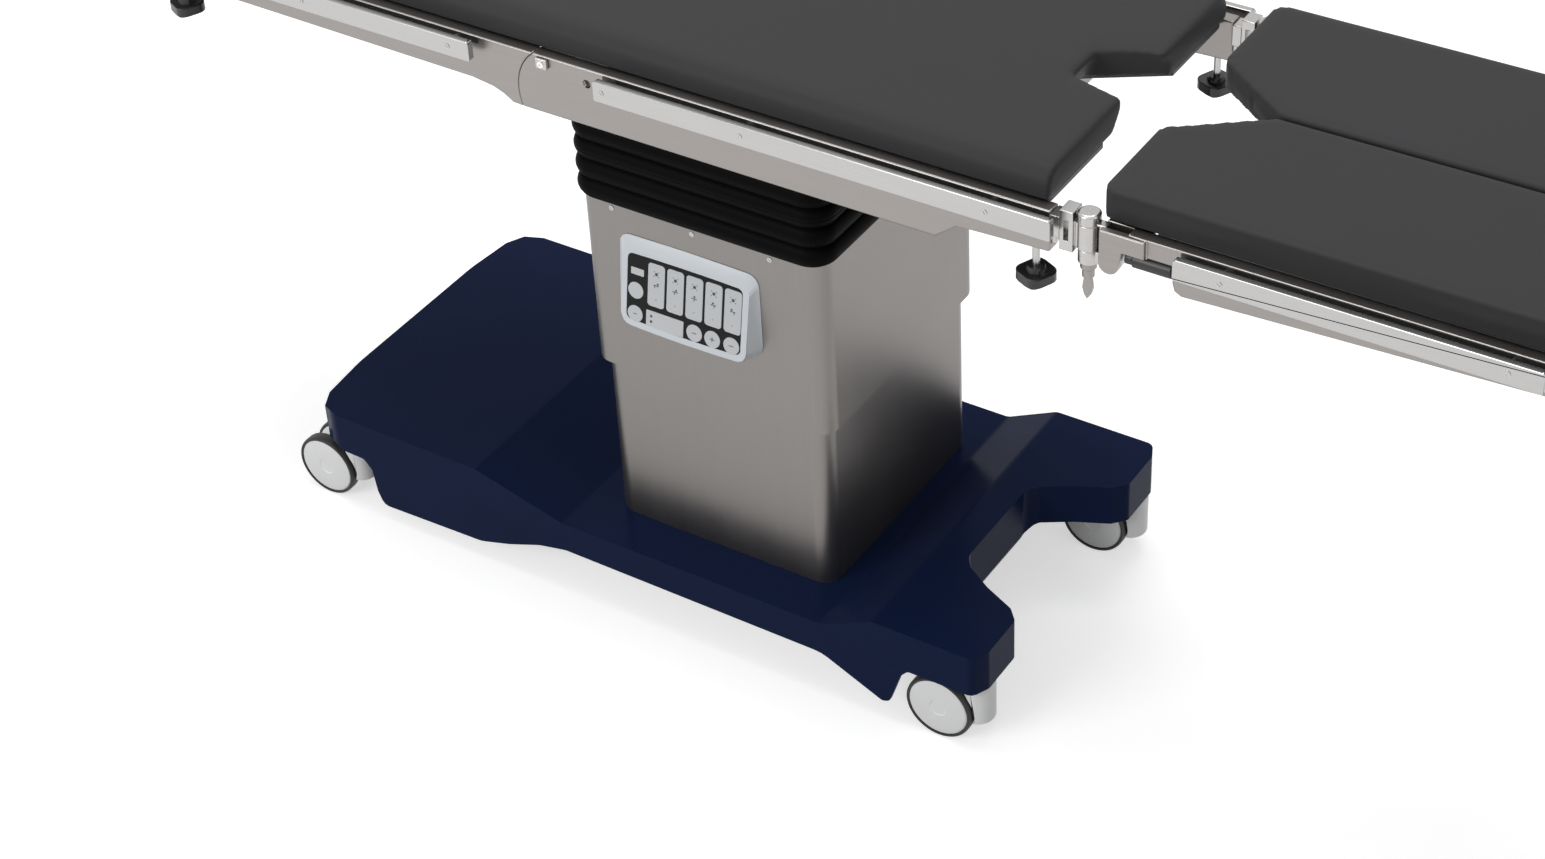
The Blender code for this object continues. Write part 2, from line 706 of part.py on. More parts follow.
def build_seat_frame():
    frame = sheet("seat_frame", [seat_side()], *span(-1, frame_in, frame_out), "Y")
    join(frame, frame_beam(-0.060, 0.060))
    join(frame, sheet("far_side", [seat_side()], *span(1, frame_in, frame_out), "Y"))
    join(frame, frame_beam(0.200, 0.225))
    join(frame, frame_beam(frame_foot_end - 0.148, frame_foot_end - 0.124))
    for side in (-1, 1):
        ear = arc(0, tilt_z, ear_round, 180, 360, 10)
        ear += [(ear_round + 0.006, beam_bottom + 0.002), (-ear_round - 0.006, beam_bottom + 0.002)]
        join(frame, sheet("hanging_ear", [ear], *span(side, 0.082, 0.098), "Y"))
        reach = span(side, frame_in - 0.001, frame_in + 0.0153)
        cut(frame, cylinder("back_bore", back_pin_radius + pin_gap, (back_x, 0, back_z), *reach, "Y"))
        cut(frame, post_pocket(frame_foot_end - 0.056, frame_foot_end + 0.006, side))
        cut(frame, stud_hole(seat_knob_x, side))
        ys = span(side, frame_out - 0.008, frame_out + 0.01)
        middle = sum(ys) / 2
        place = (back_x + 0.035, middle, frame_top - 0.0217)
        cut(frame, cylinder("side_hole", 0.006, place, -0.009, 0.009, "Y"))
    cut(frame, cylinder("trend_bore", tilt_pin_radius + pin_gap, (0, 0, tilt_z), -0.12, 0.12, "Y", 32))
    settle(frame, top, steel_frame)


def board(name, outline, carrier):
    made = sheet(name, [outline], frame_top - board_thick, frame_top)
    settle(made, carrier, black_plastic)


def build_seat_board():
    half = board_half
    start, end, notch = back_x + 0.055, frame_foot_end - 0.014, seat_pad_end - 0.103
    outline = [
        (start, -half), (end, -half), (end, -0.092), (notch, -0.032), (notch, 0.032),
        (end, 0.092), (end, half), (start, half),
    ]
    board("seat_board", rounded(outline, [0, 0.01, 0, 0.012, 0.012, 0, 0.01, 0], 3), top)


def pad_section():
    z0, z1 = pad_bottom, pad_top
    points = [(-pad_half, z0), (pad_half, z0), (pad_half, z1), (-pad_half, z1)]
    return rounded(points, [0.008, 0.008, pad_edge, pad_edge], 5)


def long_pad(name, x_low, x_high, carrier):
    made = sheet(name, [pad_section()], x_low, x_high, "X")
    settle(made, carrier, pad_cover)
    return made


def notch_wedge():
    """The opening in the seat pad, wider underneath than on top."""
    mouth = seat_pad_end + 0.025
    low = [(mouth - 0.122, 0.025), (mouth, 0.098)]
    high = [(mouth - 0.097, 0.031), (mouth, 0.056)]
    z0, z1 = pad_bottom - 0.002, pad_top + 0.002
    points = []
    for ring, z in ((low, z0), (high, z1)):
        points += [(ring[0][0], -ring[0][1], z), (ring[1][0], -ring[1][1], z)]
        points += [(ring[1][0], ring[1][1], z), (ring[0][0], ring[0][1], z)]
    faces = [(3, 2, 1, 0), (4, 5, 6, 7), (0, 1, 5, 4), (1, 2, 6, 5), (2, 3, 7, 6), (3, 0, 4, 7)]
    mesh = bpy.data.meshes.new("notch_wedge")
    mesh.from_pydata(points, [], faces)
    return object_from("notch_wedge", mesh)


def build_top_pads():
    seat = long_pad("seat_pad", flex_end + face_gap, seat_pad_end, top)
    cut(seat, notch_wedge())
    long_pad("flex_pad", flex_start + face_gap, flex_end, top)
    long_pad("back_pad", back_pad_start, flex_start, back)
    long_pad("head_pad", head_end, head_pad_start, head)


# Side rails on spacers
def rail(name, x_low, x_high, screws, side, carrier):
    ys = span(side, rail_inner, rail_inner + rail_thick)
    z0, z1 = rail_mid - rail_tall / 2, rail_mid + rail_tall / 2
    outline = [(x_low, z0), (x_high, z0), (x_high, z1), (x_low, z1)]
    made = sheet(name, [rounded(outline, [0.005] * 4, 3)], *ys, "Y")
    reach = span(side, frame_out + face_gap, rail_inner + 0.001)
    for x in screws:
        join(made, cylinder("spacer", rail_screw_radius, (x, 0, rail_mid), *reach, "Y"))
    settle(made, carrier, steel_rail)


def build_top_rails():
    for side in (-1, 1):
        name = "near" if side < 0 else "far"
        start, end = back_x + 0.060, frame_foot_end + 0.012
        rail("seat_rail_" + name, start, end, (start + 0.013, start + 0.218, end - 0.087), side, top)
        start, end = frame_head_end + 0.012, back_x - 0.133
        rail("back_rail_" + name, start, end, (end - 0.035, end - 0.277, start + 0.025), side, back)


def build_latches():
    for side in (-1, 1):
        name = "back_latch_" + ("near" if side < 0 else "far")
        ys = span(side, frame_out + face_gap, frame_out + 0.006)
        latch = box(name, (back_x - 0.040, back_x - 0.023), ys, (frame_top - 0.0167, frame_top - 0.0012))
        bevel(latch, 0.0015)
        settle(latch, top, chrome)


# Back section
def back_side():
    r = back_round + face_gap
    angle = math.degrees(math.asin((frame_top - back_z) / r))
    points = arc(back_x, back_z, r, back_seam_end, 180 - angle, 12)
    points += [(frame_head_end, frame_top), (frame_head_end, frame_top - 0.0592)]
    points += [(back_x - 0.150, frame_top - 0.0652), (back_x - 0.118, frame_top - 0.0697)]
    points += [(back_x - 0.102, frame_top - 0.0757), (back_x - 0.088, frame_top - 0.0847)]
    return points


def build_back_frame():
    inner = frame_in - 0.0005
    frame = sheet("back_frame", [back_side()], *span(-1, inner, frame_out), "Y")
    join(frame, frame_beam(back_x - 0.150, back_x - 0.125))
    join(frame, sheet("far_side", [back_side()], *span(1, inner, frame_out), "Y"))
    join(frame, frame_beam(-0.560, -0.535))
    join(frame, frame_beam(frame_head_end + 0.022, frame_head_end + 0.047, frame_top - 0.0397))
    for side in (-1, 1):
        lug = arc(back_x, back_z, 0.030, -90, 90, 10)
        lug += [(back_x - 0.180, frame_top - 0.0147), (back_x - 0.180, frame_top - 0.0477)]
        join(frame, sheet("hinge_lug", [lug], *span(side, frame_in - 0.022, frame_in - face_gap), "Y"))
        pin_low, pin_high = frame_in - 0.021, frame_in + 0.015
        middle = side * (pin_low + pin_high) / 2
        half = (pin_high - pin_low) / 2
        join(frame, cylinder("hinge_pin", back_pin_radius, (back_x, middle, back_z), -half, half, "Y"))
        cut(frame, post_pocket(frame_head_end - 0.008, frame_head_end + 0.055, side))
        cut(frame, stud_hole(head_knob_x, side))
    settle(frame, back, steel_frame)
    half = board_half
    start, end = frame_head_end + 0.007, back_x - 0.055
    outline = [(start, -half), (end, -half), (end, half), (start, half)]
    board("back_board", rounded(outline, [0.01, 0, 0, 0.01], 3), back)


# Each forked arm has one cheek on either side of its post
cheek_spans = (
    (arm_mid - 0.016, arm_mid - post_half - face_gap),
    (arm_mid + post_half + face_gap, arm_mid + 0.016),
)


# Head section: a yoke plugged into the back section, and the frame that swings on it
def build_head():
    half = arm_mid + 0.005
    xs, zs = (frame_head_end - 0.0125, frame_head_end - 0.0025), (post_low + 0.0022, post_high - 0.002)
    yoke = box("head_yoke", xs, (-half, half), zs)
    for side in (-1, 1):
        ys = span(side, arm_mid - post_half, arm_mid + post_half)
        outline = arc(head_x, head_z, 0.0098, 90, 270, 8)
        post_end = frame_head_end + 0.053
        outline = [(post_end, post_high)] + outline + [(post_end, post_low)]
        join(yoke, sheet("post", [outline], *ys, "Y"))
        place = (head_x, side * arm_mid, head_z)
        cut(yoke, cylinder("head_bore", head_pin_radius + pin_gap, place, -0.02, 0.02, "Y"))
    settle(yoke, back, steel_frame)

    start, end = head_pad_start + 0.004, head_end + 0.012
    beam_zs = (frame_top - 0.0297, beam_top)
    frame = box("head_frame", (end + 0.001, end + 0.020), (-half, half), beam_zs)
    join(frame, box("front_beam", (start - 0.047, start - 0.027), (-arm_mid, arm_mid), beam_zs))
    for side in (-1, 1):
        ys = span(side, frame_in + 0.002, frame_out)
        join(frame, box("side_bar", (end, start), ys, (frame_top - 0.0347, frame_top)))
        for low, high in cheek_spans:
            cheek = arc(head_x, head_z, 0.012, -90, 90, 8)
            cheek += [(head_x - 0.048, frame_top - 0.0147), (head_x - 0.048, frame_top - 0.0337)]
            join(frame, sheet("cheek", [cheek], *span(side, low, high), "Y"))
        place = (head_x, side * arm_mid, head_z)
        join(frame, cylinder("head_pin", head_pin_radius, place, -0.0155, 0.0155, "Y"))
    settle(frame, head, steel_frame)
    half = board_half
    start, end = head_pad_start - 0.004, end + 0.002
    outline = [(end, -half), (start, -half), (start, half), (end, half)]
    board("head_board", rounded(outline, [0.01] * 4, 3), head)


# Clamp knobs: black four-cornered knobs on studs that lock the plug-in sections
def build_knob(name, x, side, parent, parent_at):
    place = (x - parent_at[0], side * arm_mid - parent_at[1], -parent_at[2])
    carrier = empty_at("screw_" + name, place, parent)
    corners = arc(x, side * arm_mid, knob_radius * 1.22, 20, 290, 3)
    grip = rounded(corners, [knob_radius * 0.5] * 4, 4)
    made = sheet("clamp_knob_" + name, [grip], knob_low, knob_high - 0.007)
    bevel(made, 0.004, 2, 50)
    profile = [
        (0, post_low - 0.001), (stud_radius, post_low - 0.001), (stud_radius, knob_high),
        (0.011, knob_high), (0.013, knob_high - 0.0080), (0, knob_high - 0.0080),
    ]
    join(made, turned("stud", profile, (x, side * arm_mid, 0)))
    settle(made, carrier, black_plastic)


# Leg sections
def build_leg(side):
    name = "near" if side < 0 else "far"
    mid = side * arm_mid
    spread = empty_at("spread_" + name, (barrel_x, mid, -tilt_z), top)
    lever = empty_at("lever_" + name, (0, 0, 0), spread)
    knee = empty_at("knee_" + name, (knee_x - barrel_x, 0, knee_z), spread)
    axis = (barrel_x, mid, 0)

    ys = span(side, arm_mid - post_half, arm_mid + post_half)
    xs = (frame_foot_end - 0.054, frame_foot_end + 0.006)
    socket = box("leg_socket_" + name, xs, ys, (post_low, post_high))
    collar_ys, zs = span(side, arm_mid - 0.0115, arm_mid + 0.0115), (knee_z + 0.012, knee_z + 0.0415)
    join(socket, box("collar", (frame_foot_end + face_gap, block_x + 0.001), collar_ys, zs))
    block_ys, zs = span(side, arm_mid - 0.012, arm_mid + 0.012), (knee_z - 0.002, knee_z + 0.053)
    join(socket, box("block", (block_x, barrel_x - 0.0155), block_ys, zs))
    xs, zs = (block_x + 0.0055, block_x + 0.0115), (knee_z + 0.012, knee_z + 0.040)
    cut(socket, box("slot", xs, span(side, arm_mid - 0.020, arm_mid + 0.020), zs))
    xs, zs = (barrel_x - 0.0165, barrel_x - 0.0095), (sleeve_low + 0.0006, sleeve_high - 0.0006)
    join(socket, box("neck", xs, span(side, arm_mid - 0.008, arm_mid + 0.008), zs))
    join(socket, cylinder("sleeve", barrel_radius, axis, sleeve_low, sleeve_high))
    bore = barrel_pin_radius + pin_gap
    cut(socket, cylinder("barrel_bore", bore, axis, sleeve_low - 0.010, sleeve_high + 0.010))
    settle(socket, top, steel_frame)

    r, rim = barrel_pin_radius, barrel_radius + 0.0003
    cap, foot = knee_z + 0.055, knee_z - 0.014
    profile = [
        (0, cap), (rim - 0.003, cap), (rim, cap - 0.002), (rim, sleeve_high + face_gap),
        (r, sleeve_high + face_gap),
        (r, sleeve_low - face_gap), (0.013, sleeve_low - face_gap), (0.013, foot), (0, foot),
    ]
    yoke = turned("leg_swivel_" + name, profile, axis)
    near_x, far_x, web_x = barrel_x - 0.0013, knee_x - 0.0085, barrel_x + 0.016
    high, low = knee_z + 0.0435, knee_z - 0.0118
    tongue = arc(knee_x, knee_z, 0.0125, -90, 60, 8)
    tongue += [(far_x, knee_z + 0.019), (far_x, high), (near_x, high), (near_x, sleeve_high + 0.0007)]
    tongue += [(web_x, sleeve_high + 0.0007), (web_x, sleeve_low - 0.0007), (near_x, sleeve_low - 0.0007)]
    tongue += [(near_x, low), (web_x, low)]
    join(yoke, sheet("tongue", [tongue], *ys, "Y"))
    cut(yoke, cylinder("knee_bore", knee_pin_radius + pin_gap, (knee_x, mid, knee_z), -0.02, 0.02, "Y"))
    settle(yoke, spread, chrome)

    high, low = foot - face_gap, foot - 0.022
    profile = [
        (0, high), (0.010, high), (0.010, high - 0.0087), (0.0075, high - 0.0107), (0.0075, low), (0, low),
    ]
    grip = turned("leg_lever_" + name, profile, axis)
    leaf = [
        (barrel_x, low - 0.032), (barrel_x + 0.004, low - 0.026), (barrel_x + 0.0065, low - 0.017),
        (barrel_x + 0.0055, low - 0.008), (barrel_x + 0.0035, low + 0.002), (barrel_x - 0.0035, low + 0.002),
        (barrel_x - 0.0055, low - 0.008), (barrel_x - 0.0065, low - 0.017), (barrel_x - 0.004, low - 0.026),
    ]
    join(grip, sheet("leaf", [leaf], mid - 0.003, mid + 0.003, "Y"))
    settle(grip, lever, chrome)

    arm = build_leg_arm(name, side, mid)
    settle(arm, knee, steel_frame)
    profile = [
        (0, 0.077), (0.0095, 0.077), (0.0105, 0.076), (0.0105, 0.0275), (0.0085, 0.0265),
        (0.0085, 0.017), (0, 0.017),
    ]
    lock = turned("leg_lock_" + name, profile, (knee_x, side * (arm_mid + 0.001), knee_z + 0.0088), "X")
    settle(lock, knee, black_plastic)
    return knee


def build_leg_arm(name, side, mid):
    start, end = knee_x + 0.079, leg_end - 0.014
    plate = [
        (start, knee_z + 0.020), (start, knee_z - 0.003), (start + 0.003, knee_z - 0.013),
        (start + 0.012, knee_z - 0.018), (end - 0.008, knee_z + 0.0005), (end, knee_z + 0.008),
        (end, frame_top), (knee_x + 0.022, frame_top), (knee_x + 0.022, knee_z + 0.020),
    ]
    arm = sheet("leg_arm_" + name, [plate], *span(side, frame_in + 0.002, frame_out), "Y")
    for low, high in cheek_spans:
        step, ledge = knee_z + 0.0205, frame_top - 0.0005
        cheek = arc(knee_x, knee_z, knee_round, 180, 360, 10)
        cheek += [(knee_x + 0.017, step), (knee_x + 0.045, step)]
        cheek += [(knee_x + 0.045, ledge), (knee_x - 0.013, ledge)]
        join(arm, sheet("cheek", [cheek], *span(side, low, high), "Y"))
    join(arm, cylinder("knee_pin", knee_pin_radius, (knee_x, mid, knee_z), -0.0155, 0.0155, "Y"))
    for x in (leg_start + 0.125, leg_end - 0.072):
        ys, zs = span(side, 0.020, frame_in + 0.004), (frame_top - 0.0277, beam_top)
        join(arm, box("cross_beam", (x, x + 0.022), ys, zs))
    return arm


def leg_outline(side):
    outer = frame_out - 0.014
    points = [
        (leg_start, outer), (leg_start, 0.084), (leg_start + 0.112, 0.002),
        (leg_end, 0.002), (leg_end, outer),
    ]
    points = rounded(points, [0.016, 0.016, 0.02, 0.016, 0.016], 4)
    return [(x, side * y) for x, y in points]


def build_leg_pad(side, carrier):
    name = "near" if side < 0 else "far"
    pad = sheet("leg_pad_" + name, [leg_outline(side)], pad_bottom, pad_top)
    bevel(pad, 0.008, 3, 50)
    settle(pad, carrier, pad_cover)
    start, end, outer = leg_start + 0.073, leg_end - 0.014, frame_in + 0.0015
    outline = [(start, outer), (start, 0.060), (start + 0.063, 0.014), (end, 0.014), (end, outer)]
    outline = [(x, side * y) for x, y in rounded(outline, [0.004, 0.01, 0.01, 0.01, 0.004], 3)]
    board("leg_board_" + name, outline, carrier)
    start, end = leg_start + 0.112, leg_end - 0.020
    rail("leg_rail_" + name, start, end, (start + 0.059, end - 0.042), side, carrier)


# Build
build_base_cover()
build_chassis()
build_base_units()
for caster_x, end_name in ((caster_head_x, "head"), (caster_foot_x, "foot")):
    for caster_side in (-1, 1):
        build_caster(caster_x, caster_side, end_name)
build_column_base()
build_carriage()
build_upper_cover()
build_bellows()
build_panel()
build_cradle()
build_seat_frame()
build_seat_board()
build_top_pads()
build_top_rails()
build_latches()
build_back_frame()
build_head()
for knob_side in (-1, 1):
    knob_name = "near" if knob_side < 0 else "far"
    build_knob("seat_" + knob_name, seat_knob_x, knob_side, top, (0, 0, tilt_z))
    build_knob("head_" + knob_name, head_knob_x, knob_side, back, (back_x, 0, back_z))
for leg_side in (-1, 1):
    build_leg_pad(leg_side, build_leg(leg_side))
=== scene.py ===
import json
import math

import bmesh
import bpy
import numpy as np
from mathutils import Matrix, Vector


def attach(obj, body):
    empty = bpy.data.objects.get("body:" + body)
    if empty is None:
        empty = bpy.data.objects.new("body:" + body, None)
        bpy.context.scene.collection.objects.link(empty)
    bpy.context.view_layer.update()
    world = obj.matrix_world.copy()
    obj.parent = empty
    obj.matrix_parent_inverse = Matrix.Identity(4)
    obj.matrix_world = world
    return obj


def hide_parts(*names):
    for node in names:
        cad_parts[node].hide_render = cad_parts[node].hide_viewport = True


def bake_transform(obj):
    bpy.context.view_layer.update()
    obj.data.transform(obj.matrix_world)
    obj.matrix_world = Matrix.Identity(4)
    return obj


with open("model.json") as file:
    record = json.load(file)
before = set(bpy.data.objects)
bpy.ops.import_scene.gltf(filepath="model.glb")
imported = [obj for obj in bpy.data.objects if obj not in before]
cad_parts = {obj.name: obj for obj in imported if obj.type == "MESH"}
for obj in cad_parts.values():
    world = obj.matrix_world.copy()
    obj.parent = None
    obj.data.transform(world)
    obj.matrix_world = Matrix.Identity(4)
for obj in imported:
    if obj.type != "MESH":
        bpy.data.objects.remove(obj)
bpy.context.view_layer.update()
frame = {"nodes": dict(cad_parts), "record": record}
columnX = -0.030                      # the column's centre line, seen from the middle of the table
bodyOf = {}
for bodyName, nodeNames in frame["record"]["behaviour"]["bodies"].items():
    for nodeName in nodeNames:
        bodyOf[nodeName] = bodyName
sides = (("near", -1), ("far", 1))
print("frame loaded")


# shading: shared effects
def shaderGroup(name, inputs, outputs):
    tree = bpy.data.node_groups.new(name, "ShaderNodeTree")
    for label, kind, value in inputs:
        socket = tree.interface.new_socket(label, in_out="INPUT", socket_type=kind)
        socket.default_value = value
    for label, kind in outputs:
        tree.interface.new_socket(label, in_out="OUTPUT", socket_type=kind)
    return tree, tree.nodes.new("NodeGroupInput"), tree.nodes.new("NodeGroupOutput")


def link(tree, source, target):
    tree.links.new(source, target)


def buildBrushGrain():
    # long scratches: noise stretched along the way the metal was brushed
    tree, given, out = shaderGroup("brushGrain", [
        ("Stretch", "NodeSocketVector", (1, 1, 1)), ("Scale", "NodeSocketFloat", 100.0)],
        [("Grain", "NodeSocketFloat"), ("Smudge", "NodeSocketFloat")])
    place = tree.nodes.new("ShaderNodeTexCoord")
    stretch = tree.nodes.new("ShaderNodeVectorMath")
    stretch.operation = "MULTIPLY"
    link(tree, place.outputs["Object"], stretch.inputs[0])
    link(tree, given.outputs["Stretch"], stretch.inputs[1])
    scratch = tree.nodes.new("ShaderNodeTexNoise")
    scratch.inputs["Detail"].default_value = 5
    scratch.inputs["Roughness"].default_value = 0.65
    link(tree, stretch.outputs[0], scratch.inputs["Vector"])
    link(tree, given.outputs["Scale"], scratch.inputs["Scale"])
    smear = tree.nodes.new("ShaderNodeTexNoise")
    smear.inputs["Scale"].default_value = 5.5
    smear.inputs["Detail"].default_value = 4
    link(tree, place.outputs["Object"], smear.inputs["Vector"])
    link(tree, scratch.outputs["Fac"], out.inputs["Grain"])
    link(tree, smear.outputs["Fac"], out.inputs["Smudge"])
    return tree


def buildMouldSkin():
    # moulded skin: fine orange peel and slow changes of gloss
    tree, given, out = shaderGroup("mouldSkin", [
        ("Peel Scale", "NodeSocketFloat", 400.0), ("Cloud Scale", "NodeSocketFloat", 4.0)],
        [("Peel", "NodeSocketFloat"), ("Cloud", "NodeSocketFloat")])
    place = tree.nodes.new("ShaderNodeTexCoord")
    peel = tree.nodes.new("ShaderNodeTexNoise")
    peel.inputs["Detail"].default_value = 3
    cloud = tree.nodes.new("ShaderNodeTexNoise")
    cloud.inputs["Detail"].default_value = 5
    cloud.inputs["Roughness"].default_value = 0.6
    for node, label in ((peel, "Peel Scale"), (cloud, "Cloud Scale")):
        link(tree, place.outputs["Object"], node.inputs["Vector"])
        link(tree, given.outputs[label], node.inputs["Scale"])
    link(tree, peel.outputs["Fac"], out.inputs["Peel"])
    link(tree, cloud.outputs["Fac"], out.inputs["Cloud"])
    return tree


def buildCoverGrain():
    # coated cloth: small pebbles, a slack ripple, and faint rubbed patches
    tree, given, out = shaderGroup("coverGrain", [
        ("Pebble Scale", "NodeSocketFloat", 900.0), ("Ripple Scale", "NodeSocketFloat", 9.0)],
        [("Pebble", "NodeSocketFloat"), ("Ripple", "NodeSocketFloat"), ("Rub", "NodeSocketFloat")])
    place = tree.nodes.new("ShaderNodeTexCoord")
    pebble = tree.nodes.new("ShaderNodeTexVoronoi")
    link(tree, place.outputs["Object"], pebble.inputs["Vector"])
    link(tree, given.outputs["Pebble Scale"], pebble.inputs["Scale"])
    ripple = tree.nodes.new("ShaderNodeTexNoise")
    ripple.inputs["Detail"].default_value = 2
    link(tree, place.outputs["Object"], ripple.inputs["Vector"])
    link(tree, given.outputs["Ripple Scale"], ripple.inputs["Scale"])
    rub = tree.nodes.new("ShaderNodeTexNoise")
    rub.inputs["Scale"].default_value = 2.6
    rub.inputs["Detail"].default_value = 6
    rub.inputs["Roughness"].default_value = 0.7
    link(tree, place.outputs["Object"], rub.inputs["Vector"])
    link(tree, pebble.outputs["Distance"], out.inputs["Pebble"])
    link(tree, ripple.outputs["Fac"], out.inputs["Ripple"])
    link(tree, rub.outputs["Fac"], out.inputs["Rub"])
    return tree


brushGrain = buildBrushGrain()
mouldSkin = buildMouldSkin()
coverGrain = buildCoverGrain()


def newMaterial(name, roughness, metallic, **sockets):
    material = bpy.data.materials.new(name)
    material.use_nodes = True
    tree = material.node_tree
    shader = tree.nodes["Principled BSDF"]
    shader.inputs["Roughness"].default_value = roughness
    shader.inputs["Metallic"].default_value = metallic
    for label, value in sockets.items():
        shader.inputs[label.replace("_", " ")].default_value = value
    return material, tree, shader


def useGroup(tree, group, **values):
    node = tree.nodes.new("ShaderNodeGroup")
    node.node_tree = group
    for label, value in values.items():
        node.inputs[label.replace("_", " ")].default_value = value
    return node


def colourRamp(tree, source, target, stops):
    ramp = tree.nodes.new("ShaderNodeValToRGB")
    while len(ramp.color_ramp.elements) < len(stops):
        ramp.color_ramp.elements.new(0.5)
    for element, (place, colour) in zip(ramp.color_ramp.elements, stops):
        element.position = place
        element.color = (*colour, 1)
    link(tree, source, ramp.inputs["Fac"])
    link(tree, ramp.outputs["Color"], target)


def valueRange(tree, source, target, low, high, fromLow=0.3, fromHigh=0.7):
    node = tree.nodes.new("ShaderNodeMapRange")
    node.inputs["From Min"].default_value = fromLow
    node.inputs["From Max"].default_value = fromHigh
    node.inputs["To Min"].default_value = low
    node.inputs["To Max"].default_value = high
    link(tree, source, node.inputs["Value"])
    link(tree, node.outputs["Result"], target)


def bumpFrom(tree, shader, heights):
    # heights: (source, strength, distance), chained one over the other
    last = None
    for source, strength, distance in heights:
        bump = tree.nodes.new("ShaderNodeBump")
        bump.inputs["Strength"].default_value = strength
        bump.inputs["Distance"].default_value = distance
        link(tree, source, bump.inputs["Height"])
        if last:
            link(tree, last.outputs["Normal"], bump.inputs["Normal"])
        last = bump
    link(tree, last.outputs["Normal"], shader.inputs["Normal"])


def shade(colour, amount):
    return tuple(min(1, channel * amount) for channel in colour)


def brushedSteel(name, colour, rough, stretch, scale, spread, depth):
    material, tree, shader = newMaterial(name, rough, 1.0)
    grain = useGroup(tree, brushGrain, Stretch=stretch, Scale=scale)
    colourRamp(tree, grain.outputs["Grain"], shader.inputs["Base Color"],
               [(0.25, shade(colour, 1 - spread)), (0.75, shade(colour, 1 + spread))])
    mixed = tree.nodes.new("ShaderNodeMath")
    mixed.operation = "ADD"
    link(tree, grain.outputs["Grain"], mixed.inputs[0])
    link(tree, grain.outputs["Smudge"], mixed.inputs[1])
    valueRange(tree, mixed.outputs[0], shader.inputs["Roughness"], rough - 0.02, rough + 0.03, 0.7, 1.3)
    bumpFrom(tree, shader, [(grain.outputs["Grain"], 0.22, depth)])
    return material


def mouldedPlastic(name, colour, rough, spread=0.06, peel=420.0, depth=0.00003, **sockets):
    material, tree, shader = newMaterial(name, rough, 0.0, **sockets)
    skin = useGroup(tree, mouldSkin, Peel_Scale=peel)
    colourRamp(tree, skin.outputs["Cloud"], shader.inputs["Base Color"],
               [(0.3, shade(colour, 1 - spread)), (0.7, shade(colour, 1 + spread))])
    valueRange(tree, skin.outputs["Cloud"], shader.inputs["Roughness"], rough - 0.05, rough + 0.07)
    bumpFrom(tree, shader, [(skin.outputs["Peel"], 0.3, depth)])
    return material


def coatedCover(name, colour, rough):
    material, tree, shader = newMaterial(name, rough, 0.0, Specular_IOR_Level=0.10, Sheen_Weight=0.01,
                                         Sheen_Roughness=0.5)
    cover = useGroup(tree, coverGrain)
    colourRamp(tree, cover.outputs["Rub"], shader.inputs["Base Color"],
               [(0.3, shade(colour, 0.92)), (0.55, colour), (0.75, shade(colour, 1.10))])
    valueRange(tree, cover.outputs["Rub"], shader.inputs["Roughness"], rough - 0.06, rough + 0.06)
    bumpFrom(tree, shader, [(cover.outputs["Ripple"], 0.10, 0.004),
                            (cover.outputs["Pebble"], 0.25, 0.00015)])
    return material


# the way the metal was brushed: the scratches run along the axis with the smallest number
brushed = {"up": (1.0, 1.0, 0.03), "along": (0.03, 1.0, 1.0), "turned": (1.0, 1.0, 0.2),
           "polished": (1.0, 1.0, 1.0)}
navyShell = mouldedPlastic("navyShell", (0.0062, 0.0140, 0.052), 0.22, 0.05, 220.0, 0.000004,
                           Specular_IOR_Level=0.03)
columnSteel = brushedSteel("columnSteel", (0.225, 0.212, 0.202), 0.36, brushed["up"], 260.0, 0.03, 0.0000004)
frameSteel = brushedSteel("frameSteel", (0.29, 0.272, 0.260), 0.34, brushed["along"], 300.0, 0.04, 0.000002)
railSteel = brushedSteel("railSteel", (0.44, 0.435, 0.43), 0.25, brushed["along"], 400.0, 0.03, 0.000002)
jointSteel = brushedSteel("jointSteel", (0.46, 0.45, 0.44), 0.26, brushed["turned"], 300.0, 0.04, 0.000002)
brightChrome = brushedSteel("brightChrome", (0.74, 0.74, 0.74), 0.14, brushed["polished"], 60.0, 0.02,
                            0.000001)
chassisPaint = mouldedPlastic("chassisPaint", (0.035, 0.036, 0.04), 0.5, 0.12, 250.0, 0.00008)
casterWhite = mouldedPlastic("casterWhite", (0.93, 0.935, 0.94), 0.38, 0.02)
panelGrey = mouldedPlastic("panelGrey", (0.74, 0.78, 0.82), 0.40, 0.02)
boardBlack = mouldedPlastic("boardBlack", (0.012, 0.012, 0.013), 0.42, 0.15)
knobBlack = mouldedPlastic("knobBlack", (0.014, 0.014, 0.015), 0.34, 0.12)
treadRubber = mouldedPlastic("treadRubber", (0.011, 0.011, 0.012), 0.55, 0.15, 600.0, 0.00006)
bellowsRubber = mouldedPlastic("bellowsRubber", (0.0028, 0.0028, 0.0031), 0.50, 0.12, 500.0, 0.00001,
                               Specular_IOR_Level=0.03)
keyFace = mouldedPlastic("keyFace", (0.64, 0.66, 0.68), 0.35, 0.02)
keyLamp = mouldedPlastic("keyLamp", (0.50, 0.53, 0.50), 0.25, 0.02)
keyInk = mouldedPlastic("keyInk", (0.05, 0.06, 0.08), 0.5, 0.05)
keyBack = mouldedPlastic("keyBack", (0.004, 0.004, 0.005), 0.25, 0.1, Specular_IOR_Level=0.15)
padCharcoal = coatedCover("padCharcoal", (0.043, 0.043, 0.045), 0.55)
print("materials made")


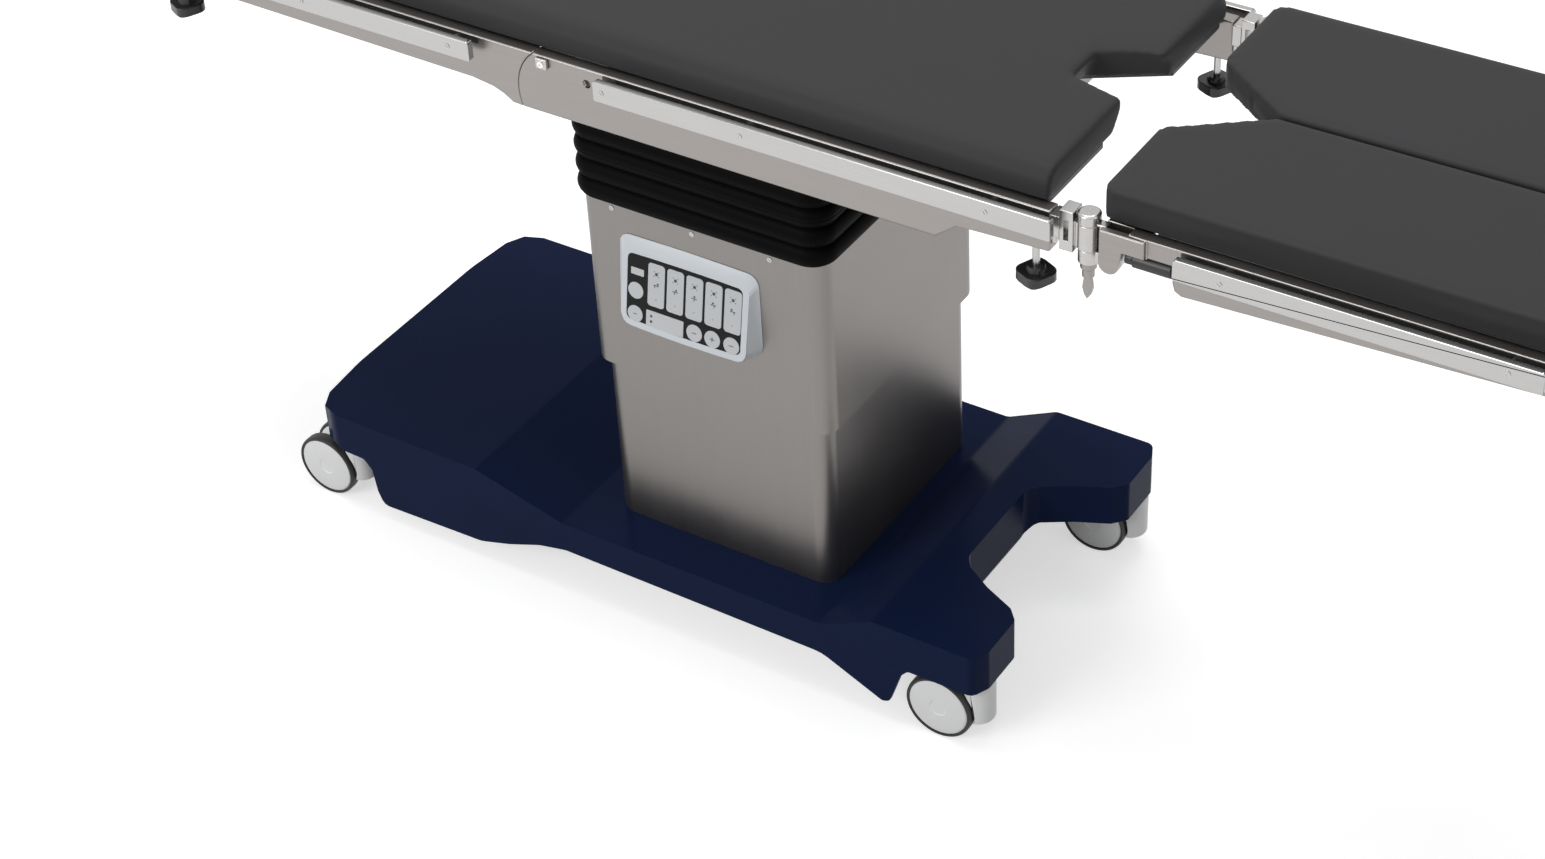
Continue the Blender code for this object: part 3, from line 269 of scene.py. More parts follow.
# shaping helpers
def meshFrom(build, name):
    mesh = bpy.data.meshes.new(name)
    build.to_mesh(mesh)
    build.free()
    return mesh


def pieceFrom(name, mesh, material, smoothAngle=35):
    piece = bpy.data.objects.new(name, mesh)
    bpy.context.scene.collection.objects.link(piece)
    mesh.materials.clear()
    mesh.materials.append(material)
    for face in mesh.polygons:
        face.use_smooth = True
    if smoothAngle:
        mesh.set_sharp_from_angle(angle=math.radians(smoothAngle))
    return piece


def mountOn(piece, body, *nodes):
    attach(piece, body)
    if nodes:
        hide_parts(*nodes)


def bakedMesh(piece):
    graph = bpy.context.evaluated_depsgraph_get()
    graph.update()
    return bpy.data.meshes.new_from_object(piece.evaluated_get(graph))


def softEdges(piece, width, angle=30):
    # only edges with room for it are rounded, so that small facets keep their shape
    build = bmesh.new()
    build.from_mesh(piece.data)
    weight = build.edges.layers.float.new("bevel_weight_edge")
    for edge in build.edges:
        if len(edge.link_faces) == 2 and edge.calc_length() > 3 * width:
            if abs(edge.calc_face_angle(0)) > math.radians(angle):
                edge[weight] = 1
    build.to_mesh(piece.data)
    build.free()
    bevel = piece.modifiers.new("softEdges", "BEVEL")
    bevel.width = width
    bevel.segments = 2
    bevel.limit_method = "WEIGHT"
    bevel.use_clamp_overlap = False


def nodeShape(nodeName):
    # a merged copy of a CAD node's mesh, its flat faces joined up again
    build = bmesh.new()
    build.from_mesh(frame["nodes"][nodeName].data)
    bmesh.ops.remove_doubles(build, verts=build.verts, dist=0.00002)
    bmesh.ops.dissolve_limit(build, angle_limit=math.radians(0.4), verts=build.verts, edges=build.edges)
    return build


def dressNode(nodeName, material, edge, angle=30):
    piece = pieceFrom("dressed_" + nodeName, meshFrom(nodeShape(nodeName), nodeName), material)
    if edge:
        softEdges(piece, edge, angle)
    # wide faces are shaded flat and the rounds between them take the turn
    even = piece.modifiers.new("evenShade", "WEIGHTED_NORMAL")
    even.mode = "FACE_AREA"
    even.keep_sharp = True
    mountOn(piece, bodyOf[nodeName], nodeName)


def ringProfile(profile, steps, centre, axis):
    # turned shape: (radius, height) points run from one end of the axis to the other
    build = bmesh.new()
    rings = []
    for radius, height in profile:
        if radius < 1e-7:
            rings.append([build.verts.new((0, 0, height))])
            continue
        ring = []
        for i in range(steps):
            angle = 2 * math.pi * i / steps
            ring.append(build.verts.new((radius * math.cos(angle), radius * math.sin(angle), height)))
        rings.append(ring)
    for low, high in zip(rings, rings[1:]):
        for i in range(steps):
            j = (i + 1) % steps
            corners = []
            for vert in (low[i % len(low)], low[j % len(low)], high[j % len(high)], high[i % len(high)]):
                if vert not in corners:
                    corners.append(vert)
            if len(corners) > 2:
                build.faces.new(corners)
    bmesh.ops.recalc_face_normals(build, faces=build.faces)
    turn = {"Z": Matrix(), "Y": Matrix.Rotation(-math.pi / 2, 4, "X")}
    build.transform(Matrix.Translation(centre) @ turn[axis])
    return build


def bandBetween(build, rings):
    # one row of quads between each ring of points and the next, all the way round
    for low, high in zip(rings, rings[1:]):
        for i in range(len(low)):
            j = (i + 1) % len(low)
            build.faces.new((low[i], low[j], high[j], high[i]))


def joinBuilds(builds):
    whole = bmesh.new()
    for build in builds:
        mesh = meshFrom(build, "part")
        whole.from_mesh(mesh)
        bpy.data.meshes.remove(mesh)
    return whole


def roundedOutline(halfX, halfY, corner, steps):
    points = []
    for cx, cy, start in ((1, 1, 0), (-1, 1, 90), (-1, -1, 180), (1, -1, 270)):
        for i in range(steps + 1):
            angle = math.radians(start + 90 * i / steps)
            points.append((cx * (halfX - corner) + corner * math.cos(angle),
                           cy * (halfY - corner) + corner * math.sin(angle)))
    return points


def slab(halfX, halfZ, corner, depth, steps):
    # a rounded plate standing in X and Z, its face at y = 0 looking towards -Y, its back at y = depth
    build = bmesh.new()
    outline = roundedOutline(halfX, halfZ, corner, steps)
    front = [build.verts.new((x, 0, z)) for x, z in outline]
    back = [build.verts.new((x, depth, z)) for x, z in outline]
    build.faces.new(front)
    build.faces.new(list(reversed(back)))
    bandBetween(build, [back, front])
    bmesh.ops.recalc_face_normals(build, faces=build.faces)
    return build


# base, column and frames: CAD shapes with softened edges and their finishes
def dressMetalAndShell():
    edge = {"hidden": 0.0006, "frame": 0.0015, "rail": 0.0013, "board": 0.0008, "block": 0.0008,
            "swivel": 0.0007, "small": 0.0005}
    dressNode("base_cover", navyShell, 0)
    for name in ("crosshead", "tilt_cradle"):
        dressNode(name, boardBlack, edge["hidden"])
    for name in ("base_chassis", "mast_outer", "lift_cylinder_barrel"):
        dressNode(name, chassisPaint, edge["hidden"])
    dressNode("power_unit", boardBlack, edge["hidden"])
    dressNode("battery_pack", panelGrey, edge["hidden"])
    for name in ("column_lower_cover", "column_upper_cover"):
        dressNode(name, columnSteel, 0)
    dressNode("mast_inner", frameSteel, edge["hidden"])
    dressNode("lift_cylinder_rod", brightChrome, edge["hidden"])
    for name in ("seat_frame", "back_frame", "head_frame", "head_yoke"):
        dressNode(name, frameSteel, edge["frame"])
    for sideName, sign in sides:
        dressNode("leg_arm_" + sideName, frameSteel, edge["frame"])
        dressNode("leg_socket_" + sideName, jointSteel, edge["block"])
        dressNode("leg_swivel_" + sideName, jointSteel, edge["swivel"])
        dressNode("leg_lever_" + sideName, frameSteel, edge["small"])
        dressNode("leg_lock_" + sideName, knobBlack, edge["hidden"])
        dressNode("back_latch_" + sideName, jointSteel, edge["small"])
        for name in ("seat_rail_", "back_rail_", "leg_rail_"):
            dressNode(name + sideName, railSteel, edge["rail"])
        dressNode("leg_board_" + sideName, boardBlack, edge["board"])
    for name in ("seat_board", "back_board", "head_board"):
        dressNode(name, boardBlack, edge["board"])


# casters
def buildCasters():
    wheel = {"radius": 0.050, "wide": 0.019, "twinWide": 0.062, "treadDeep": 0.0052, "hub": 0.012,
             "axle": 0.006, "steps": 64, "hoodEdge": 0.0012}
    place = {"head": -0.681, "foot": 0.383, "y": 0.223}
    half, inner = wheel["twinWide"] / 2, wheel["twinWide"] / 2 - wheel["wide"]
    r, hub, axle = wheel["radius"], wheel["hub"], wheel["axle"]
    rim = r - wheel["treadDeep"]
    disc = [(0, half - 0.0012), (hub, half - 0.0012), (hub + 0.0008, half - 0.0004),
            (rim - 0.004, half - 0.0004), (rim - 0.001, half - 0.0012), (rim, half - 0.002),
            (rim, inner + 0.001), (rim - 0.002, inner), (axle + 0.002, inner), (axle, inner - 0.0005),
            (axle, 0)]
    tread = [(rim + 0.0002, half - 0.0022), (rim + 0.0008, half - 0.0003), (r - 0.0020, half),
             (r - 0.0006, half - 0.0016), (r, half - 0.0045), (r, inner + 0.0045),
             (r - 0.0006, inner + 0.0016), (r - 0.0020, inner), (rim + 0.0006, inner + 0.0003),
             (rim + 0.0002, inner + 0.0015)]
    for endName in ("head", "foot"):
        for sideName, sign in sides:
            name = endName + "_" + sideName
            centre = Vector((place[endName] + columnX, sign * place["y"], r))
            for label, profile, material, nodes in (
                    ("wheelDiscs", disc, casterWhite, ["caster_wheels_" + name]),
                    ("wheelTreads", tread + tread[:1], treadRubber, [])):
                # the two wheels of a twin are one turned shape and its mirror image
                twin = [[(radius, face * height) for radius, height in profile] for face in (1, -1)]
                pair = joinBuilds([ringProfile(shape, wheel["steps"], centre, "Y") for shape in twin])
                bmesh.ops.remove_doubles(pair, verts=pair.verts, dist=0.00001)
                bmesh.ops.recalc_face_normals(pair, faces=pair.faces)
                piece = pieceFrom(label + "_" + name, meshFrom(pair, label), material)
                mountOn(piece, "wheels_" + name, *nodes)
            dressNode("caster_hood_" + name, casterWhite, wheel["hoodEdge"], 35)


# bellows: pleats drawn as a smooth wave round the column
def buildBellows():
    boot = {"halfX": 0.199, "halfY": 0.207, "deep": 0.0085, "corner": 0.036, "folds": 5, "stepsPerFold": 12,
            "low": 0.6713, "high": 0.8215, "wall": 0.0015, "crease": 0.55}
    middle = (boot["low"] + boot["high"]) / 2
    steps = boot["stepsPerFold"] * boot["folds"] // 2

    def outlineAt(z):
        turn = (z - boot["low"]) / (boot["high"] - boot["low"]) * boot["folds"]
        wave = abs(math.sin(math.pi * turn)) ** boot["crease"]
        back = boot["deep"] * (1 - wave)
        return roundedOutline(boot["halfX"] - back, boot["halfY"] - back, boot["corner"] - back * 0.5, 8)

    for label, low, high, bodies in (("lower", boot["low"], middle, ("lift", "cradle")),
                                     ("upper", middle, boot["high"], ("cradle", "top"))):
        build = bmesh.new()
        rings = []
        for k in range(steps + 1):
            z = low + (high - low) * k / steps
            rings.append([build.verts.new((x + columnX, y, z)) for x, y in outlineAt(z)])
        bandBetween(build, rings)
        bmesh.ops.recalc_face_normals(build, faces=build.faces)
        piece = pieceFrom("bellows_" + label, meshFrom(build, "bellows"), bellowsRubber, 60)
        skin = piece.modifiers.new("skin", "SOLIDIFY")
        skin.thickness = boot["wall"]
        skin.offset = -1
        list(bodies)
        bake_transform(piece)
        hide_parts("bellows")


# control panel
def buildPanel():
    face = {"lowZ": 0.503, "highZ": 0.617, "lowY": -0.226, "highY": -0.206, "keyLift": 0.0009}
    key = {"count": 5, "wide": 0.02650, "pitch": 0.03020, "firstX": -0.06025, "lowZ": 0.5420,
           "highZ": 0.6045, "corner": 0.0050, "thick": 0.0009, "edge": 0.0003,
           "lampZ": 0.5530, "lampRadius": 0.0016}
    ink = {"lift": 0.00018, "thick": 0.0005, "corner": 0.0004, "line": 0.0011, "long": 0.0075,
           "thinLine": 0.0010, "shortLine": 0.0060}
    roundKey = {"leftX": -0.0925, "upperZ": 0.5570, "lowerZ": 0.5228, "leftRadius": 0.0121,
                "rowX": (0.0020, 0.0305, 0.0605), "rowZ": 0.5236, "rowRadius": 0.0124}
    window = {"x": -0.0905, "z": 0.5850, "wide": 0.0205, "tall": 0.0100, "corner": 0.0012}
    wideKey = {"x": -0.0450, "z": 0.5232, "wide": 0.0595, "tall": 0.0235, "corner": 0.0015,
               "dotX": -0.0665, "dotZ": 0.5192, "dotPitch": 0.0080, "dot": 0.0035, "dotCorner": 0.0006}
    slope = (face["highY"] - face["lowY"]) / (face["highZ"] - face["lowZ"])
    lean = Matrix.Rotation(-math.atan(slope), 4, "X")
    stretch = 1 / math.cos(math.atan(slope))

    def plate(x, z, wide, tall, corner, lift, thick):
        # a small rounded plate lying on the leaning face; tall is given as the height it covers
        halfX, halfZ = wide / 2, tall * stretch / 2
        build = slab(halfX, halfZ, min(corner, halfX - 1e-5, halfZ - 1e-5), thick, 8)
        y = face["lowY"] + slope * (z - face["lowZ"]) - lift * stretch
        build.transform(Matrix.Translation((x + columnX, y, z)) @ lean)
        return build

    def cap(x, z, wide, tall, corner):
        return plate(x, z, wide, tall, corner, face["keyLift"], key["thick"])

    def roundCap(x, z, radius):
        return cap(x, z, radius * 2, radius * 2 / stretch, radius)

    def mark(x, z, wide, tall, corner=ink["corner"]):
        return plate(x, z, wide, tall, corner, face["keyLift"] + ink["lift"], ink["thick"])

    caps, marks, lamps = [], [], []
    middleZ, tallZ = (key["lowZ"] + key["highZ"]) / 2, key["highZ"] - key["lowZ"]
    for i in range(key["count"]):
        x = key["firstX"] + key["pitch"] * i
        caps.append(cap(x, middleZ, key["wide"], tallZ, key["corner"]))
        marks += keyMark(mark, i, x)
        lamps.append(plate(x, key["lampZ"], key["lampRadius"] * 2, key["lampRadius"] * 2 / stretch,
                           key["lampRadius"], face["keyLift"] + ink["lift"], key["thick"]))
    caps.append(cap(window["x"], window["z"], window["wide"], window["tall"], window["corner"]))
    for z in (roundKey["upperZ"], roundKey["lowerZ"]):
        caps.append(roundCap(roundKey["leftX"], z, roundKey["leftRadius"]))
    for x in roundKey["rowX"]:
        caps.append(roundCap(x, roundKey["rowZ"], roundKey["rowRadius"]))
    caps.append(cap(wideKey["x"], wideKey["z"], wideKey["wide"], wideKey["tall"], wideKey["corner"]))
    for k in range(2):
        marks.append(mark(wideKey["dotX"], wideKey["dotZ"] + wideKey["dotPitch"] * k, wideKey["dot"],
                          wideKey["dot"], wideKey["dotCorner"]))
    for x in roundKey["rowX"]:
        marks.append(mark(x, roundKey["rowZ"], ink["long"], ink["line"]))
    marks.append(mark(roundKey["rowX"][1], roundKey["rowZ"], ink["line"], ink["long"]))
    marks.append(mark(roundKey["leftX"], roundKey["lowerZ"], ink["shortLine"], ink["thinLine"]))
    for name, builds, material, slotName in (("panelKeys", caps, keyFace, "pale_grey_plastic"),
                                             ("panelMarks", marks, keyInk, "black_plastic"),
                                             ("panelLamps", lamps, keyLamp, "pale_grey_plastic")):
        piece = pieceFrom(name, meshFrom(joinBuilds(builds), name), material)
        mountOn(piece, "lift")
        if name == "panelKeys":
            softEdges(piece, key["edge"], 40)
    dressNode("panel_housing", panelGrey, 0.0006)
    dressNode("keypad", keyBack, 0.0003)


def keyMark(mark, index, x):
    # plain signs: a dot between four short rays, over a small table on a foot that shifts from key to key
    dot = {"z": 0.5900, "size": 0.0046, "corner": 0.0022, "rayX": 0.0037, "rayZ": 0.0033, "ray": 0.0013}
    top = {"z": 0.5735, "wide": 0.0085, "line": 0.0012, "footZ": 0.5713, "footTall": 0.0032, "step": 0.0011}
    head = {"x": 0.0026, "z": 0.5762, "size": 0.0028, "corner": 0.0011}
    made = [mark(x, dot["z"], dot["size"], dot["size"], dot["corner"])]
    for acrossX, acrossZ in ((-1, -1), (1, -1), (-1, 1), (1, 1)):
        rayX, rayZ = x + dot["rayX"] * acrossX, dot["z"] + dot["rayZ"] * acrossZ
        made.append(mark(rayX, rayZ, dot["ray"], dot["ray"]))
    made.append(mark(x, top["z"], top["wide"], top["line"]))
    made.append(mark(x + top["step"] * (index - 2), top["footZ"], top["line"], top["footTall"]))
    headX = x + head["x"] - top["step"] * index
    made.append(mark(headX, head["z"], head["size"], head["size"], head["corner"]))
    return made


# clamp knobs
def buildKnobs():
    stud = {"radius": 0.0046, "low": 0.8224, "high": 0.8502, "y": 0.240, "seat": 0.521, "head": -0.804}
    r, low, high = stud["radius"], stud["low"], stud["high"]
    shaft = [(0, low), (r, low), (r, high), (0, high)]
    for endName in ("seat", "head"):
        for sideName, sign in sides:
            name = endName + "_" + sideName
            dressNode("clamp_knob_" + name, knobBlack, 0.0012, 40)
            rod = ringProfile(shaft, 24, (stud[endName] + columnX, sign * stud["y"], 0), "Z")
            piece = pieceFrom("knobStud_" + name, meshFrom(rod, "knobStud"), jointSteel, 50)
            mountOn(piece, "knob_" + name)


# latch bolts: a round bolt with a round socket on each back latch
def buildLatchBolts():
    bolt = {"radius": 0.0048, "socket": 0.0021, "deep": 0.0010, "top": 0.0012, "sunk": 0.0002,
            "face": 0.2560, "x": -0.1815, "z": 0.9004}
    r, s, top, floor = bolt["radius"], bolt["socket"], bolt["top"], bolt["top"] - bolt["deep"]
    profile = [(0, -bolt["sunk"]), (r, -bolt["sunk"]), (r, top - 0.0004), (r - 0.0004, top), (s, top),
               (s, floor), (0, floor)]
    for sideName, sign in sides:
        build = ringProfile(profile, 30, (0, 0, 0), "Z")
        build.transform(Matrix.Rotation(sign * -math.pi / 2, 4, "X"))
        build.transform(Matrix.Translation((bolt["x"] + columnX, sign * bolt["face"], bolt["z"])))
        piece = pieceFrom("latchBolt_" + sideName, meshFrom(build, "latchBolt"), brightChrome, 40)
        mountOn(piece, bodyOf["back_latch_" + sideName])


# painted shade: thin black strips on the frame behind each rail, standing in for the shadow in the gap
# between rail and frame
def buildPaintedShadeStrips():
    strip = {"face": 0.2502, "thick": 0.0005, "low": 0.8992, "high": 0.9080, "corner": 0.0015}
    span = {"seat": (-0.089, 0.542), "back": (-0.814, -0.284), "leg": (0.712, 1.151)}
    halfZ, middleZ = (strip["high"] - strip["low"]) / 2, (strip["low"] + strip["high"]) / 2
    for sideName, sign in sides:
        for railName, body in (("seat", "top"), ("back", "back"), ("leg", "leg_" + sideName)):
            x0, x1 = span[railName]
            build = slab((x1 - x0) / 2, halfZ, strip["corner"], strip["thick"], 3)
            lowestY = min(sign * strip["face"], sign * (strip["face"] + strip["thick"]))
            build.transform(Matrix.Translation(((x0 + x1) / 2 + columnX, lowestY, middleZ)))
            name = "paintedShadeStrip_" + railName + "_" + sideName
            # painted shade: a black strip where the frame face lies only in the rail's shadow
            piece = pieceFrom(name, meshFrom(build, name), knobBlack, 30)
            mountOn(piece, body)


# screws: one Geometry Nodes row, used on the rails and the column
def screwTree(material):
    tree = bpy.data.node_groups.new("screwRow", "GeometryNodeTree")
    tree.is_modifier = True
    number, inputs = "NodeSocketFloat", {}
    for label, kind, value in (("Points", "NodeSocketGeometry", None), ("Head Radius", number, 0.004),
                               ("Head Height", number, 0.0012), ("Slot Width", number, 0.0009),
                               ("Turn Seed", "NodeSocketInt", 3),
                               ("Outward", "NodeSocketVector", (0, -1, 0))):
        socket = tree.interface.new_socket(label, in_out="INPUT", socket_type=kind)
        if value is not None:
            socket.default_value = value
        inputs[label] = socket.identifier
    tree.interface.new_socket("Geometry", in_out="OUTPUT", socket_type="NodeSocketGeometry")
    given, out = tree.nodes.new("NodeGroupInput"), tree.nodes.new("NodeGroupOutput")

    def share(label, amount):
        # one input times a fixed number
        times = tree.nodes.new("ShaderNodeMath")
        times.operation = "MULTIPLY"
        times.inputs[1].default_value = amount
        link(tree, given.outputs[label], times.inputs[0])
        return times.outputs[0]

    # the head, with a slot cut across its outer end
    head = tree.nodes.new("GeometryNodeMeshCylinder")
    head.inputs["Vertices"].default_value = 24
    link(tree, given.outputs["Head Radius"], head.inputs["Radius"])
    link(tree, given.outputs["Head Height"], head.inputs["Depth"])
    slotSize = tree.nodes.new("ShaderNodeCombineXYZ")
    link(tree, share("Head Radius", 1.3), slotSize.inputs["X"])
    link(tree, given.outputs["Slot Width"], slotSize.inputs["Y"])
    link(tree, given.outputs["Head Height"], slotSize.inputs["Z"])
    slotBlock = tree.nodes.new("GeometryNodeMeshCube")
    link(tree, slotSize.outputs[0], slotBlock.inputs["Size"])
    slotPlace = tree.nodes.new("ShaderNodeCombineXYZ")
    link(tree, share("Head Height", 0.6), slotPlace.inputs["Z"])
    raised = tree.nodes.new("GeometryNodeTransform")
    link(tree, slotBlock.outputs["Mesh"], raised.inputs["Geometry"])
    link(tree, slotPlace.outputs[0], raised.inputs["Translation"])
    carve = tree.nodes.new("GeometryNodeMeshBoolean")
    carve.operation = "DIFFERENCE"
    link(tree, head.outputs["Mesh"], carve.inputs["Mesh 1"])
    link(tree, raised.outputs["Geometry"], carve.inputs["Mesh 2"])

    # each copy looks outward and is turned its own way about that line
    aim = tree.nodes.new("FunctionNodeAlignRotationToVector")
    aim.axis = "Z"
    link(tree, given.outputs["Outward"], aim.inputs["Vector"])
    spin = tree.nodes.new("FunctionNodeRandomValue")
    spin.data_type = "FLOAT"
    spin.inputs[3].default_value = 6.28
    link(tree, given.outputs["Turn Seed"], spin.inputs["Seed"])
    around = tree.nodes.new("FunctionNodeAxisAngleToRotation")
    link(tree, spin.outputs[1], around.inputs["Angle"])
    turned = tree.nodes.new("FunctionNodeRotateRotation")
    turned.rotation_space = "LOCAL"
    link(tree, aim.outputs[0], turned.inputs["Rotation"])
    link(tree, around.outputs[0], turned.inputs["Rotate By"])

    copies = tree.nodes.new("GeometryNodeInstanceOnPoints")
    link(tree, given.outputs["Points"], copies.inputs["Points"])
    link(tree, carve.outputs["Mesh"], copies.inputs["Instance"])
    link(tree, turned.outputs[0], copies.inputs["Rotation"])
    real = tree.nodes.new("GeometryNodeRealizeInstances")
    link(tree, copies.outputs[0], real.inputs[0])
    paint = tree.nodes.new("GeometryNodeSetMaterial")
    paint.inputs["Material"].default_value = material
    link(tree, real.outputs[0], paint.inputs["Geometry"])
    link(tree, paint.outputs[0], out.inputs[0])
    return tree, inputs


def screwsAt(name, body, places, outward, radius, tree, inputs):
    build = bmesh.new()
    for place in places:
        build.verts.new(place)
    carrier = bpy.data.objects.new(name + "_points", meshFrom(build, name))
    bpy.context.scene.collection.objects.link(carrier)
    row = carrier.modifiers.new("screws", "NODES")
    row.node_group = tree
    row[inputs["Head Radius"]] = radius
    row[inputs["Outward"]] = outward
    piece = bpy.data.objects.new(name, bakedMesh(carrier))
    bpy.data.objects.remove(carrier)
    bpy.context.scene.collection.objects.link(piece)
    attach(piece, body)


def buildScrews():
    tree, inputs = screwTree(jointSteel)
    column = {"face": 0.1982, "z": 0.6635, "radius": 0.0036,
              "near": (-0.135, -0.008, 0.112), "far": (-0.135, 0.0, 0.135)}
    rail = {"face": 0.2721, "z": 0.8972, "radius": 0.0040,
            "seat": (-0.077, 0.128, 0.469), "back": (-0.318, -0.560, -0.790), "leg": (0.770, 1.110)}
    for sideName, sign in sides:
        places = [(x + columnX, sign * column["face"], column["z"]) for x in column[sideName]]
        screwsAt("columnScrews_" + sideName, "lift", places, (0, sign, 0), column["radius"], tree, inputs)
    for sideName, sign in sides:
        for railName, body in (("seat", "top"), ("back", "back"), ("leg", "leg_" + sideName)):
            places = [(x + columnX, sign * rail["face"], rail["z"]) for x in rail[railName]]
            name = "railScrews_" + railName + "_" + sideName
            screwsAt(name, body, places, (0, sign, 0), rail["radius"], tree, inputs)


# pads: foam under a coated cover, puffed by a short cloth run
def pointsOf(mesh):
    points = np.empty(len(mesh.vertices) * 3)
    mesh.vertices.foreach_get("co", points)
    return points.reshape(-1, 3)


def puff(piece, voxel, cap):
    # voxel remesh, a few frames of cloth under pressure, and a cap on how far any point may go
    cushion = {"pressure": 4.0, "frames": 14, "floor": 0.9100, "quality": 4, "mass": 0.25, "stretch": 25,
               "bend": 4}
    remesh = piece.modifiers.new("remesh", "REMESH")
    remesh.mode = "VOXEL"
    remesh.voxel_size = voxel
    mesh = bakedMesh(piece)
    piece.modifiers.remove(remesh)
    piece.data = mesh
    start = pointsOf(mesh)
    cloth = piece.modifiers.new("cloth", "CLOTH")
    cloth.settings.quality = cushion["quality"]
    cloth.settings.mass = cushion["mass"]
    cloth.settings.tension_stiffness = cushion["stretch"]
    cloth.settings.compression_stiffness = cushion["stretch"]
    cloth.settings.bending_stiffness = cushion["bend"]
    cloth.settings.use_pressure = True
    cloth.settings.uniform_pressure_force = cushion["pressure"]
    cloth.settings.effector_weights.gravity = 0
    cloth.collision_settings.use_collision = False
    scene = bpy.context.scene
    for frameNumber in range(1, cushion["frames"] + 1):
        scene.frame_set(frameNumber)
    graph = bpy.context.evaluated_depsgraph_get()
    moved = pointsOf(piece.evaluated_get(graph).to_mesh())
    piece.evaluated_get(graph).to_mesh_clear()
    piece.modifiers.remove(cloth)
    scene.frame_set(1)
    travel = moved - start
    length = np.linalg.norm(travel, axis=1)
    keep = np.minimum(1, cap / np.maximum(length, 1e-9))
    ended = start + travel * keep[:, None]
    ended[:, 2] = np.maximum(ended[:, 2], cushion["floor"])
    mesh.vertices.foreach_set("co", ended.reshape(-1))
    mesh.update()


def finishPad(piece):
    # the steps that the voxels leave are eased away
    ease = piece.modifiers.new("ease", "SMOOTH")
    ease.factor = 0.5
    ease.iterations = 2
    mesh = bakedMesh(piece)
    piece.modifiers.clear()
    piece.data = mesh
    mesh.materials.clear()
    mesh.materials.append(padCharcoal)
    for face in mesh.polygons:
        face.use_smooth = True


def padSection(pad):
    points = []
    half, low, high = pad["half"], pad["low"], pad["high"]
    for cx, cz, radius, start in ((half, low, pad["underEdge"], -90), (half, high, pad["topEdge"], 0),
                                  (-half, high, pad["topEdge"], 90), (-half, low, pad["underEdge"], 180)):
        centreX = cx - math.copysign(radius, cx)
        centreZ = cz + (radius if cz == low else -radius)
        for i in range(9):
            angle = math.radians(start + 90 * i / 8)
            points.append((centreX + radius * math.cos(angle), centreZ + radius * math.sin(angle)))
    return points


def extrudedPad(name, pad, x0, x1):
    # the cover is drawn tight over the ends, so only a narrow round runs along each end
    build = bmesh.new()
    section = padSection(pad)
    middleZ, end = (pad["low"] + pad["high"]) / 2, pad["endRound"]
    stations = [(x0, 1.0), (x0 + end * 0.3, 0.3), (x0 + end, 0.0),
                (x1 - end, 0.0), (x1 - end * 0.3, 0.3), (x1, 1.0)]
    rings = []
    for x, shrink in stations:
        pull = end * shrink
        ring = []
        for y, z in section:
            inY = y - math.copysign(min(pull, abs(y)), y)
            inZ = z - (pull if z > middleZ else -pull) * min(1, abs(z - middleZ) / 0.012)
            ring.append(build.verts.new((x, inY, inZ)))
        rings.append(ring)
    bandBetween(build, rings)
    build.faces.new(rings[0])
    build.faces.new(list(reversed(rings[-1])))
    bmesh.ops.recalc_face_normals(build, faces=build.faces)
    return pieceFrom(name, meshFrom(build, name), padCharcoal, 0)


def notchCutter():
    # a wedge, narrow inside and wide at the foot end, its walls leaning with height
    notch = {"low": 0.900, "lowX": 0.4375, "lowHalf": 0.0255, "lowWide": 0.1185,
             "high": 0.960, "highX": 0.4625, "highHalf": 0.0315, "highWide": 0.0695, "endX": 0.600}
    build = bmesh.new()
    rings = []
    for level in ("low", "high"):
        inner, half, wide = notch[level + "X"] + columnX, notch[level + "Half"], notch[level + "Wide"]
        outer = notch["endX"] + columnX
        outline = ((inner, -half), (outer, -wide), (outer, wide), (inner, half))
        rings.append([build.verts.new((x, y, notch[level])) for x, y in outline])
    build.faces.new(list(reversed(rings[0])))
    build.faces.new(rings[1])
    bandBetween(build, rings)
    bmesh.ops.recalc_face_normals(build, faces=build.faces)
    cutter = bpy.data.objects.new("notchCutter", meshFrom(build, "notchCutter"))
    bpy.context.scene.collection.objects.link(cutter)
    return cutter


